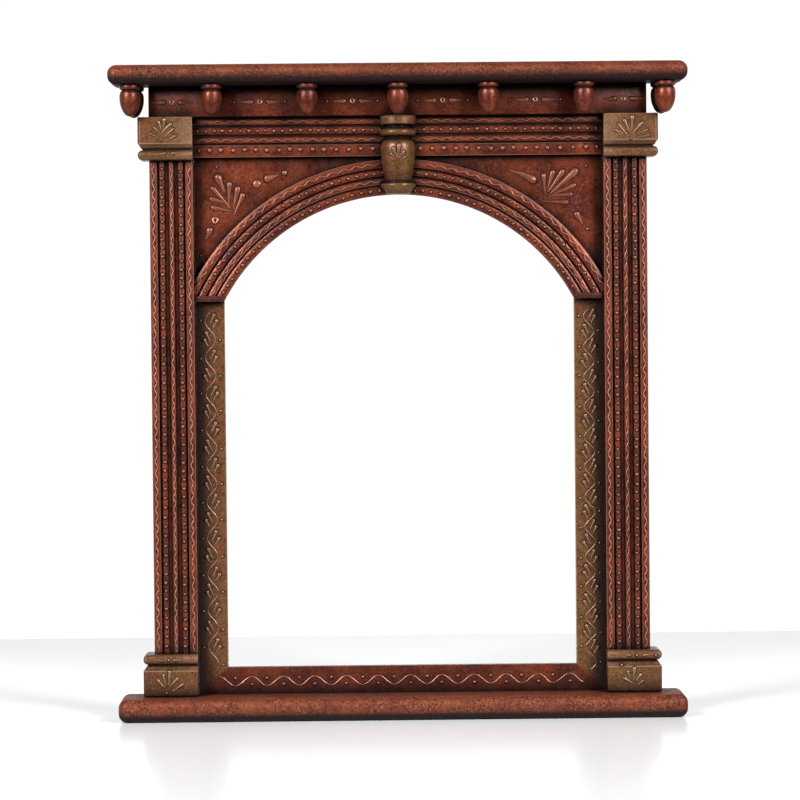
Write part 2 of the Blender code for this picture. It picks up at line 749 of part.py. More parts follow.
def add_drops():
    """The row of drops behind the cornice's front edge, and one more at the back of each end."""
    front, rear = DROP_SETBACK - BACK, BACK - DROP_SETBACK
    places = []
    for number, share in enumerate(DROP_SHARES, start=1):
        places.append((f"drop_{number}", DROP_REACH * share, front))
    places.append(("rear_drop_left", -BLOCK_OUTER - REAR_DROP_OVERHANG, rear))
    places.append(("rear_drop_right", BLOCK_OUTER + REAR_DROP_OVERHANG, rear))
    for name, x, y in places:
        drop = turned(name, DROP_PROFILE, DROP_RADIUS, DROP_LENGTH, DROP_STEPS, RUBBED_COPPER)
        drop.location = (x, y, CORNICE_BOTTOM - GAP)


def keystone_radius(drop):
    """The keystone's radius at a depth below its top, read from its turned profile."""
    share = drop / KEYSTONE_LENGTH
    for (r0, z0), (r1, z1) in zip(KEYSTONE_PROFILE, KEYSTONE_PROFILE[1:]):
        if share <= z1:
            return KEYSTONE_RADIUS * (r0 + (r1 - r0) * (share - z0) / (z1 - z0))
    return 0.0


def add_keystone():
    """The turned boss at the crown, cut flat behind where it sits on the mouldings."""
    top = INFILL_TOP - KEYSTONE_TOP_MARGIN
    keystone = turned(
        "keystone", KEYSTONE_PROFILE, KEYSTONE_RADIUS, KEYSTONE_LENGTH, KEYSTONE_STEPS, ANTIQUE_BRASS
    )
    keystone.location = (0, MOULDING_FRONT - GAP, top)
    reach = 1.5 * KEYSTONE_RADIUS
    low = (-reach, MOULDING_FRONT - GAP - reach, top - 1.2 * KEYSTONE_LENGTH)
    high = (reach, MOULDING_FRONT - GAP, top + reach)
    boolean(keystone, add_cutter("keystone_front", box_mesh("keystone_front", low, high)), "INTERSECT")

    def surface(x, z):
        radius = keystone_radius(top - z)
        return MOULDING_FRONT - GAP - math.sqrt(max(radius**2 - x**2, 0.0))

    bm = bmesh.new()
    root = Vector((0, top - KEYSTONE_PALMETTE_ROOT * KEYSTONE_LENGTH))
    raise_palmette(bm, surface, root, KEYSTONE_LENGTH, KEYSTONE_PALMETTE)
    add_ornament(keystone, bm)


def main():
    add_board("base_board", BASE_OVERHANG, BASE_THICKNESS, 0.0)
    add_board("cornice_board", CORNICE_OVERHANG, CORNICE_THICKNESS, CORNICE_BOTTOM)
    for name, side in (("left", -1), ("right", 1)):
        add_block("pedestal_" + name, side, PEDESTAL_BOTTOM, PEDESTAL_HEIGHT, upright=True)
        add_pilaster("pilaster_" + name, side)
        add_block("capital_" + name, side, CAPITAL_BOTTOM, CAPITAL_HEIGHT, upright=False)
    add_frieze()
    add_architrave()
    add_spandrel_panel()
    add_arch_moulding()
    add_stile("stile_left", -1, VINE_PERIOD_LEFT)
    add_stile("stile_right", 1, VINE_PERIOD_RIGHT)
    add_bottom_rail()
    add_drops()
    add_keystone()


main()
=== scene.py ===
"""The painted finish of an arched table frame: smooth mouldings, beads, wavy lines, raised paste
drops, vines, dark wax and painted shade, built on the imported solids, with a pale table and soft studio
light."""

import math
import random

import bmesh
import bpy
from bpy.props import FloatProperty, FloatVectorProperty, IntProperty, PointerProperty
from mathutils import Matrix, Vector
from mathutils.geometry import interpolate_bezier


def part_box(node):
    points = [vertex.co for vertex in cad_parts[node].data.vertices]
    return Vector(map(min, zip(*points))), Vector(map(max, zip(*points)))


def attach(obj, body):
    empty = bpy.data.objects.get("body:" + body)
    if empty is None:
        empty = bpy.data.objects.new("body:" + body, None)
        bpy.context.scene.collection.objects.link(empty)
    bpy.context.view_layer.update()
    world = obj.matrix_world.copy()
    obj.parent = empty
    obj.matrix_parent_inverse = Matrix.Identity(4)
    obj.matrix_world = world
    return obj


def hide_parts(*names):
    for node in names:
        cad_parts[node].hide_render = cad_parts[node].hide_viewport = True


bl_info = {
    "name": "Arched table frame",
    "version": (1, 0, 0),
    "blender": (4, 5, 0),
    "location": "3D View > Sidebar > Archway",
    "description": "Builds the painted and beaded finish of an arched table frame, and its studio",
    "category": "Object",
}

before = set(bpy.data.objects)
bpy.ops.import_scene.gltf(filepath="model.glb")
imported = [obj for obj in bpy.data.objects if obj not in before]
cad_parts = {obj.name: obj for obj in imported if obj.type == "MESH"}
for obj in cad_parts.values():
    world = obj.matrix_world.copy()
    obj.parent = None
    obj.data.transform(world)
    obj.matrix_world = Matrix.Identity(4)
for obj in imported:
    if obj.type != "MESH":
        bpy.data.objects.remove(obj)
MM = 0.001
SEAM = 0.00003
MERGE = 0.000001
ON_PLANE = 1e-7

# Where the fronts of the parts lie, front to back
CAD_BLOCK_FRONT = -0.003
CAD_FRIEZE_FRONT = 0.005
CAD_ARCH_FRONT = 0.009
CAD_PANEL_FRONT = 0.016
OPENING_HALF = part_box("stile_right")[0].x

# Reeds and the hollows between them, across each strip
PILASTER_REEDS = (0.0065, 0.0047, 0.0047, 0.0047, 0.0065)
PILASTER_HOLLOWS = (0.0012, 0.0029, 0.0029, 0.0012)
ARCHITRAVE_REEDS = (0.0057, 0.0062, 0.0054, 0.0098)
ARCHITRAVE_HOLLOWS = (0.0014, 0.0017, 0.0011)
ARCHITRAVE_LIP = 0.0011
ARCHITRAVE_LAST_RISE = 0.0009
ARCH_REEDS = (0.0073, 0.0055, 0.0059, 0.0074)
ARCH_HOLLOWS = (0.0010, 0.0008, 0.0007)
REED_RISE = 0.0022
LIP_FALL = 0.0005
REED_FULLNESS = 0.6
REED_STEPS = 14
NARROW_HOLLOW = 0.0016

# The arch
ARCH_CENTRE = 0.2624
ARCH_RADIUS = 0.1608
ARCH_SPRING = math.radians(61.8)
ARCH_OVERRUN = math.radians(5)
ARCH_STEPS = 120
PAD_HEIGHT = 0.0045

# Moulded blocks
ARRIS = 0.0009
COVE_HEIGHT = 0.0024
GROOVE_HEIGHT = 0.0024
ROUND_HEIGHT = 0.0083
ROUND_BULGE = 0.0036
ROUND_STEPS = 14
CORNER_RADIUS = 0.0025

# How fast a drop of paste narrows, and how full and how high the panel's are laid
TAPER = 1.35
PANEL_FULLNESS = 1.1
BEAD_RISE = 0.0011
LARGE_BEAD = 1.3

# A dark film left round laid paste: dark wax, and painted shade where the paste meets the ground
HALO = 0.00055
HALO_RISE = 0.02
DOT_FILM = HALO_RISE * MM
BEAD_FILM = 0.0005
FILM_WIDTH = 2.1
FILM_DEPTH = 0.72

# Fine lines beside the wavy ones and the last row of beads, as a share of the reed from its middle
EDGE_LINE = 0.42
LAST_REED_LINES = (-0.47, 0.45)
FINE_LINE = 0.00030
LINE_END = 0.001

# Small edges
BOARD_ROUND = 0.0072
SOFT_EDGE = 0.0004

# Relief values, which say how far up the paint is rubbed. Some low values paint shade instead: on the
# sides and backs of strips, on blocks, drops and the keystone, and the dim frieze, rail and pedestals.
# The dim value also darkens the floors of wide hollows, and the pads' value makes the pads darker.
GROOVE = 0.0
PAD = 0.14
BACK = 0.22
SHADE = 0.25
DIM = 0.30
PLAIN = 0.5
RUBBED = 0.75
PASTE = 0.78
BEAD = 0.88
CREST = 1.0


def linear(code):
    """A linear colour from an sRGB hex code."""
    channels = []
    for start in (1, 3, 5):
        value = int(code[start : start + 2], 16) / 255
        channels.append(value / 12.92 if value <= 0.04045 else ((value + 0.055) / 1.055) ** 2.4)
    return (*channels, 1.0)


# The paints
COPPER = linear("#6b2e17")[:3]
MAHOGANY = linear("#471a0c")[:3]
BRASS = linear("#58371f")[:3]
CREST_COLOUR = linear("#8a5843")[:3]
# Dark wax, whose colour also paints the shade in creases, recesses and shaded faces
PATINA_AND_SHADE = linear("#140503")[:3]


class ArchwaySettings(bpy.types.PropertyGroup):
    """Sizes and colours of the finish."""

    bead_width: FloatProperty(
        name="Bead width", description="Width of a bead", default=0.0027, unit="LENGTH"
    )
    bead_pitch: FloatProperty(
        name="Bead pitch", description="From bead to bead", default=0.0072, unit="LENGTH"
    )
    wave_period: FloatProperty(
        name="Wave period", description="Length of one wave on a reed", default=0.0098, unit="LENGTH"
    )
    wave_swing: FloatProperty(
        name="Wave swing", description="Swing of a wave to each side", default=0.0009, unit="LENGTH"
    )
    line_radius: FloatProperty(
        name="Line radius", description="Radius of the laid lines", default=0.00048, unit="LENGTH"
    )
    paste_rise: FloatProperty(
        name="Paste rise", description="Rise of the drops, as a share of their radius", default=0.62
    )
    hand_seed: IntProperty(
        name="Hand", description="Seed of the small hand-made irregularities", default=7
    )
    copper: FloatVectorProperty(
        name="Copper", description="Rubbed copper paint", subtype="COLOR", default=COPPER
    )
    mahogany: FloatVectorProperty(
        name="Mahogany", description="Brown ground paint", subtype="COLOR", default=MAHOGANY
    )
    brass: FloatVectorProperty(
        name="Brass", description="Antique brass paint", subtype="COLOR", default=BRASS
    )
    crest: FloatVectorProperty(
        name="Crest", description="Paint rubbed bright", subtype="COLOR", default=CREST_COLOUR
    )
    # The dark wax colour, which also paints the shade
    patina_and_shade: FloatVectorProperty(
        name="Patina", description="Dark wax in the creases", subtype="COLOR", default=PATINA_AND_SHADE
    )
    light: FloatProperty(
        name="Softbox power", description="Power of each softbox", default=160.0, unit="POWER"
    )


# Shapes


def new_shape():
    bm = bmesh.new()
    bm.verts.layers.float.new("relief")
    return bm


def mark(bm, verts, value):
    """Writes a relief value into vertices: how far the paint is rubbed, and at some places how much
    shade is painted.
    """
    layer = bm.verts.layers.float["relief"]
    for vert in verts:
        vert[layer] = value


def chain(bm, places):
    """A row of vertices joined by edges. Each place is x, y, z and a relief value."""
    verts = []
    for x, y, z, relief in places:
        vert = bm.verts.new((x, y, z))
        mark(bm, [vert], relief)
        if verts:
            bm.edges.new((verts[-1], vert))
        verts.append(vert)
    return verts


def extrude_face(bm, face, vector):
    """Makes a solid of a face, and returns the new end face."""
    made = bmesh.ops.extrude_face_region(bm, geom=[face])["geom"]
    verts = [item for item in made if isinstance(item, bmesh.types.BMVert)]
    bmesh.ops.translate(bm, vec=vector, verts=verts)
    return [item for item in made if isinstance(item, bmesh.types.BMFace)][0]


def add_box(bm, low, high, relief=PLAIN, bevel=0.0, segments=2):
    size = Vector(high) - Vector(low)
    middle = (Vector(high) + Vector(low)) / 2
    matrix = Matrix.Translation(middle) @ Matrix.Diagonal((*size, 1))
    verts = bmesh.ops.create_cube(bm, size=1, matrix=matrix)["verts"]
    mark(bm, verts, relief)
    if bevel:
        edges = {edge for vert in verts for edge in vert.link_edges}
        worked = [edge for edge in edges if min(v.co.y for v in edge.verts) < middle.y]
        soften(bm, worked, bevel, segments, "EDGES")


def soften(bm, geom, offset, segments, affect):
    """Rounds edges or corners off."""
    bmesh.ops.bevel(
        bm, geom=geom, offset=offset, segments=segments, profile=0.5, material=-1, affect=affect
    )


def spin_row(bm, verts, centre, axis, angle, steps):
    """Turns a row of vertices round an axis, and closes a full turn."""
    edges = list({edge for vert in verts for edge in vert.link_edges})
    full = angle == 2 * math.pi
    bmesh.ops.spin(
        bm, geom=verts + edges, cent=centre, axis=axis, angle=angle, steps=steps, use_merge=full
    )


def cut(bm, point, way, clear=False):
    """Cuts a shape along a plane, and may clear what lies past it."""
    geom = [*bm.verts, *bm.edges, *bm.faces]
    bmesh.ops.bisect_plane(
        bm, geom=geom, dist=ON_PLANE, plane_co=point, plane_no=way, clear_outer=clear
    )


def close_holes(bm):
    open_edges = [edge for edge in bm.edges if edge.is_boundary]
    bmesh.ops.holes_fill(bm, edges=open_edges, sides=0)


def finish(bm, node, material, sharp=40):
    """Turns a shape into the piece that stands for a CAD node."""
    bmesh.ops.recalc_face_normals(bm, faces=bm.faces)
    mesh = bpy.data.meshes.new(node + "_painted")
    bm.to_mesh(mesh)
    bm.free()
    mesh.shade_smooth()
    mesh.set_sharp_from_angle(angle=math.radians(sharp))
    mesh.materials.append(material)
    piece = bpy.data.objects.new(node + "_painted", mesh)
    bpy.context.scene.collection.objects.link(piece)
    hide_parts(node)
    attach(piece, "root")


# Laid paste


def flat(front):
    """A flat face to lay paste on."""
    return lambda x, z: front


def along_path(path, length):
    """The place and the way at a length along a path of points in XZ, also before and past its ends."""
    for start, end in zip(path, path[1:]):
        step = (end - start).length
        if length <= step or end == path[-1]:
            way = (end - start) / step
            return start + way * length, way
        length -= step


def add_drop(bm, surface, path, radius, rise, tip=0.22, taper=TAPER):
    """A drop of paste with a dark film of wax and painted shade round it: a round head, thinning along
    its path to a fine tail.
    """
    shape_drop(bm, surface, path, radius + HALO, HALO_RISE, tip, taper, GROOVE)
    shape_drop(bm, surface, path, radius, rise, tip, taper, PASTE)


def add_drops(bm, surface, drops, rise, fullness=1.0):
    """The drops of a table that gives each one's radius, then its path, in millimetres."""
    for radius, *path in drops:
        path = [Vector(place) * MM for place in path]
        add_drop(bm, surface, path, radius * MM * fullness, rise)


def shape_drop(bm, surface, path, radius, rise, tip, taper, relief, sides=10, rings=11):
    total = radius + sum((b - a).length for a, b in zip(path, path[1:]))
    head = radius / total
    verts = bmesh.ops.create_uvsphere(bm, u_segments=sides, v_segments=rings, radius=1)["verts"]
    for vert in verts:
        x, y, z = vert.co
        share = (1 - z) / 2
        if share < head:
            width = math.sqrt(max(1 - (1 - share / head) ** 2, 0))
        else:
            run = (share - head) / (1 - head)
            width = (tip + (1 - tip) * (1 - run) ** taper) * math.sqrt(max(1 - run**10, 0))
        ring = math.hypot(x, y)
        place, way = along_path(path, share * total - radius)
        if ring > 1e-4:
            place = place + Vector((-way.y, way.x)) * (x / ring * width * radius)
            lift = y / ring * width * radius * rise
        else:
            lift = 0
        vert.co = (place.x, surface(place.x, place.y) - lift, place.y)
    mark(bm, verts, relief)


def add_bead(bm, centre, radius, rise, film=DOT_FILM, sides=8, rings=6):
    """A low round dot, with a dark film of wax and painted shade round it."""
    for reach, height, relief in ((radius, rise, BEAD), (radius + HALO, film, GROOVE)):
        matrix = Matrix.Translation(centre) @ Matrix.Diagonal((reach, height, reach, 1))
        verts = bmesh.ops.create_uvsphere(
            bm, u_segments=sides, v_segments=rings, radius=1, matrix=matrix
        )["verts"]
        mark(bm, verts, relief)


def add_ring(bm, centre, radius, thickness):
    """A ring of paste with a hollow middle."""
    matrix = Matrix.Translation(centre + Vector((radius - thickness, 0, 0)))
    made = bmesh.ops.create_circle(bm, segments=8, radius=thickness, matrix=matrix)["verts"]
    mark(bm, made, CREST)
    spin_row(bm, made, centre, (0, 1, 0), 2 * math.pi, 16)


def absorb(bm, part):
    """Adds a small shape to a larger one."""
    mesh = bpy.data.meshes.new("part")
    part.to_mesh(mesh)
    part.free()
    bm.from_mesh(mesh)
    bpy.data.meshes.remove(mesh)


def lay_cord(bm, points, radius, relief=CREST):
    """A cord of paste laid through points, with a dark film of wax and painted shade beside it."""
    film = radius * FILM_WIDTH
    sunk = [Vector(point) + Vector((0, film * FILM_DEPTH, 0)) for point in points]
    add_cord(bm, sunk, film, GROOVE)
    add_cord(bm, points, radius, relief)


def add_cord(bm, points, radius, relief):
    """A round cord through points."""
    curve = bpy.data.curves.new("cord", "CURVE")
    curve.dimensions = "3D"
    curve.bevel_depth = radius
    curve.bevel_resolution = 1
    curve.use_fill_caps = True
    spline = curve.splines.new("POLY")
    spline.points.add(len(points) - 1)
    for point, place in zip(spline.points, points):
        point.co = (*place, 1)
    guide = bpy.data.objects.new("cord", curve)
    bpy.context.scene.collection.objects.link(guide)
    graph = bpy.context.evaluated_depsgraph_get()
    mesh = bpy.data.meshes.new_from_object(guide.evaluated_get(graph))
    bpy.data.objects.remove(guide, do_unlink=True)
    count = len(bm.verts)
    bm.from_mesh(mesh)
    bpy.data.meshes.remove(mesh)
    bm.verts.ensure_lookup_table()
    verts = bm.verts[count:]
    mark(bm, verts, relief)
    bmesh.ops.remove_doubles(bm, verts=verts, dist=MERGE)


def reed_line(hand, length, settings, place):
    """Points of a wavy line along a reed. place turns a distance and an offset into a point."""
    period = settings.wave_period
    points = []
    phase = hand.uniform(0, 2 * math.pi)
    along = 0.0
    swing = settings.wave_swing
    while along <= length:
        points.append(place(along, swing * math.sin(phase)))
        along += period / 8
        phase += 2 * math.pi / 8 * hand.uniform(0.9, 1.1)
        swing += (settings.wave_swing * hand.uniform(0.75, 1.25) - swing) * 0.2
    return points


def bead_row(bm, hand, length, settings, place, size=1.0):
    """Beads along a reed. place turns a distance and an offset into a point."""
    radius = settings.bead_width / 2 * size
    along = settings.bead_pitch * hand.uniform(0.3, 0.7)
    while along < length - radius:
        row = new_shape()
        width = radius * hand.uniform(0.85, 1.12)
        centre = place(along, radius * hand.uniform(-0.25, 0.25))
        add_bead(row, centre, width, 0.85 * width, BEAD_FILM)
        absorb(bm, row)
        along += settings.bead_pitch * size * hand.uniform(0.88, 1.12)


def reed_profile(reeds, hollows, thickness, width, lip=0.0):
    """(across, height, relief) over a strip of half-round reeds, between its back corners."""
    floor = thickness - REED_RISE
    # The back corners take a low value, so the strip's sides are painted darker: painted shade.
    profile = [(0.0, 0.0, BACK)]
    if lip:
        profile.append((0.0, thickness - LIP_FALL, RUBBED))
        profile.append((0.7 * lip, thickness - LIP_FALL, RUBBED))
    start = lip
    before = 0.0
    for reed, hollow in zip(reeds, (*hollows, 0.0)):
        for step in range(REED_STEPS + 1):
            angle = math.pi * step / REED_STEPS
            across = start + reed / 2 * (1 - math.cos(angle))
            rise = max(math.sin(angle), 0.0) ** REED_FULLNESS
            deep = GROOVE if (before if step < REED_STEPS / 2 else hollow) < NARROW_HOLLOW else DIM
            relief = deep + (PLAIN - deep) * min(1.0, 1.4 * rise)
            profile.append((across, floor + REED_RISE * rise, relief))
        start += reed + hollow
        before = hollow
    profile.append((width, 0.0, BACK))
    return profile


def reed_fall(reed, offset):
    """How far a reed's surface lies below its crest, at an offset from its middle."""
    return REED_RISE * (1 - max(1 - (2 * offset / reed) ** 2, 0) ** (REED_FULLNESS / 2))


def reed_middles(reeds, hollows, lip=0.0):
    """Distances across a strip to the middle of each reed."""
    middles = []
    start = lip
    for reed, hollow in zip(reeds, (*hollows, 0.0)):
        middles.append(start + reed / 2)
        start += reed + hollow
    return middles


# Finishes


def add(tree, kind, inputs, output=0, **settings):
    """Adds one node with its settings and links. An input is a value, or another node's output."""
    node = tree.nodes.new("ShaderNode" + kind)
    for key, value in settings.items():
        setattr(node, key, value)
    for key, value in inputs.items():
        if isinstance(value, bpy.types.NodeSocket):
            tree.links.new(value, node.inputs[key])
        else:
            node.inputs[key].default_value = value
    return node.outputs[output] if node.outputs else None


def coat(tree, below, above, cover, low, high, share=1.0):
    """Lays one colour over another, from bare where cover is low up to a share where it is high."""
    amount = add(tree, "MapRange", {0: cover, 1: low, 2: high, 3: 0.0, 4: share})
    return add(tree, "Mix", {0: amount, 6: below, 7: above}, 2, data_type="RGBA")


def new_material(name):
    material = bpy.data.materials.new(name)
    material.use_nodes = True
    material.node_tree.nodes.clear()
    return material, material.node_tree


# Patterns in the paint: size in millimetres, detail, roughness and distortion
PATTERNS = {
    # Where one ground colour gives way to the other
    "patches": (22, 4, 0.55, 0.0),
    # Where the copper was rubbed on with a cloth
    "smear": (5, 3, 0.55, 0.6),
    # Dabs of a brush, finer in the real paint and drawn as coarse as they show
    "stipple": (1.7, 2, 0.55, 0.8),
    # Brush grain, drawn coarser than the real one
    "grain": (1.6, 3, 0.6, 0.0),
}
# What a sponge adds: pores, flecks, and the patches that it reached
SPONGE_PATTERNS = {
    "pores": (2.0, 1, 0.55, 2.0),
    "flecks": (1.4, 1, 0.55, 0.5),
    "sponged": (16, 3, 0.55, 0.0),
}


def aged_paint(name, grounds, crest, patina_and_shade, speckle=0.0, gloss=0.38):
    """Two ground colours in soft patches, dark wax and painted shade in creases and recesses, and bright
    rubbed crests.
    """
    material, tree = new_material(name)
    place = add(tree, "Mapping", {0: add(tree, "TexCoord", {}, "Object")})
    relief = add(tree, "Attribute", {}, "Fac", attribute_name="relief")
    cover = {}
    patterns = {**PATTERNS, **SPONGE_PATTERNS} if speckle else PATTERNS
    for key, (size, detail, roughness, distortion) in patterns.items():
        inputs = {"Vector": place, "Scale": 1 / (size * MM), "Detail": detail}
        inputs.update({"Roughness": roughness, "Distortion": distortion})
        cover[key] = add(tree, "TexNoise", inputs, "Fac")

    colour = coat(tree, grounds[0], grounds[1], cover["patches"], 0.40, 0.62)
    colour = coat(tree, colour, grounds[2], cover["smear"], 0.50, 0.68, 0.75)
    colour = coat(tree, colour, patina_and_shade, cover["stipple"], 0.46, 0.32, 0.65)
    colour = coat(tree, colour, crest, cover["stipple"], 0.58, 0.74, 0.40)
    if speckle:
        pitted = coat(tree, colour, patina_and_shade, cover["pores"], 0.47, 0.40, 0.85 * speckle)
        pitted = coat(tree, pitted, crest, cover["flecks"], 0.61, 0.68, 0.65 * speckle)
        colour = coat(tree, colour, pitted, cover["sponged"], 0.40, 0.56)

    # How far the paint is rubbed, from the relief value and the grain: wear on crests, dark wax in
    # grooves, and painted shade where a piece has a low value for shade
    rubbed = add(tree, "Math", {0: cover["grain"], 1: 0.5}, operation="SUBTRACT")
    rubbed = add(tree, "Math", {0: rubbed, 1: 0.45, 2: relief}, operation="MULTIPLY_ADD")
    colour = coat(tree, patina_and_shade, colour, rubbed, 0.0, 0.40)
    colour = coat(tree, colour, crest, rubbed, 0.62, 1.0, 0.85)
    # Dark wax and painted shade in creases of about 2 mm, and painted shade in recesses of about 14 mm,
    # both laid where nearby surfaces occlude
    crease = {"Distance": 2.0 * MM}
    crease = add(tree, "AmbientOcclusion", crease, "AO", samples=8, only_local=True)
    colour = coat(tree, patina_and_shade, colour, crease, 0.55, 0.95)
    recess_shade = add(tree, "AmbientOcclusion", {"Distance": 14 * MM}, "AO", samples=8)
    colour = coat(tree, patina_and_shade, colour, recess_shade, 0.52, 0.96)

    bump = add(tree, "Bump", {"Height": cover["grain"], "Strength": 0.35, "Distance": 0.25 * MM})
    sheen = {0: cover["smear"], 1: 0.35, 2: 0.65, 3: gloss - 0.08, 4: gloss + 0.10}
    sheen = add(tree, "MapRange", sheen)
    dull = add(tree, "MapRange", {0: rubbed, 1: 0.0, 2: 0.40, 3: 0.85, 4: 0.0})
    shader = {
        "Base Color": colour,
        "Roughness": add(tree, "Math", {0: sheen, 1: dull}, operation="MAXIMUM"),
        "Metallic": 0.45,
        "Specular IOR Level": 0.25,
        "Coat Weight": 0.05,
        "Coat Roughness": 0.2,
        "Normal": bump,
    }
    add(tree, "OutputMaterial", {0: add(tree, "BsdfPrincipled", shader)})


def finishes():
    """The frame's paints, made once and found again by name."""
    settings = bpy.context.scene.archway
    made = bpy.data.materials
    if "rubbed_copper_paint" not in made:
        colours = (settings.copper, settings.mahogany, settings.brass, settings.crest, settings.patina_and_shade)
        copper, mahogany, brass, crest, patina_and_shade = [(*colour, 1) for colour in colours]
        # Mahogany brown with coppery patches and pink rubbed crests, as the reeds and panels have
        grounds = (mahogany, copper, linear("#451714"))
        aged_paint("rubbed_copper_paint", grounds, crest, patina_and_shade)
        # The same paint sponged over the boards, with dark pores and bright flecks
        grounds = (linear("#5e2a17"), linear("#6c341b"), mahogany)
        aged_paint("sponged_copper_paint", grounds, crest, patina_and_shade, speckle=1.0, gloss=0.62)
        # Olive brown brass paint with copper showing through, as the blocks and stiles have
        grounds = (brass, linear("#584022"), linear("#66301a"))
        aged_paint("antique_brass_paint", grounds, linear("#8c6c55"), patina_and_shade)
    return made["rubbed_copper_paint"], made["sponged_copper_paint"], made["antique_brass_paint"]


# Pieces


class ArchwayOperator:
    """What all the operators share."""

    bl_options = {"REGISTER", "UNDO"}

    def execute(self, context):
        settings = context.scene.archway
        copper, sponged, brass = finishes()
        self.build(settings, random.Random(settings.hand_seed), copper, sponged, brass)
        return {"FINISHED"}


class ARCHWAY_OT_boards(ArchwayOperator, bpy.types.Operator):
    """Build the base and the cornice with their bullnoses"""

    bl_idname = "archway.boards"
    bl_label = "Base and cornice"

    def build(self, settings, hand, copper, sponged, brass):
        for node, start, reach in (("base_board", 0.08, 0.42), ("cornice_board", 0.24, 0.56)):
            low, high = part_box(node)
            thickness = high.z - low.z
            bm = new_shape()
            add_box(bm, low, high, PLAIN, bevel=min(BOARD_ROUND, 0.45 * thickness), segments=12)
            # The paint darkens towards each board's bottom: painted shade under the cornice and at the
            # base's foot.
            layer = bm.verts.layers.float["relief"]
            for vert in bm.verts:
                share = (vert.co.z - low.z) / thickness
                vert[layer] = PLAIN * min(1.0, max(share - start, 0) / reach)
            finish(bm, node, sponged)


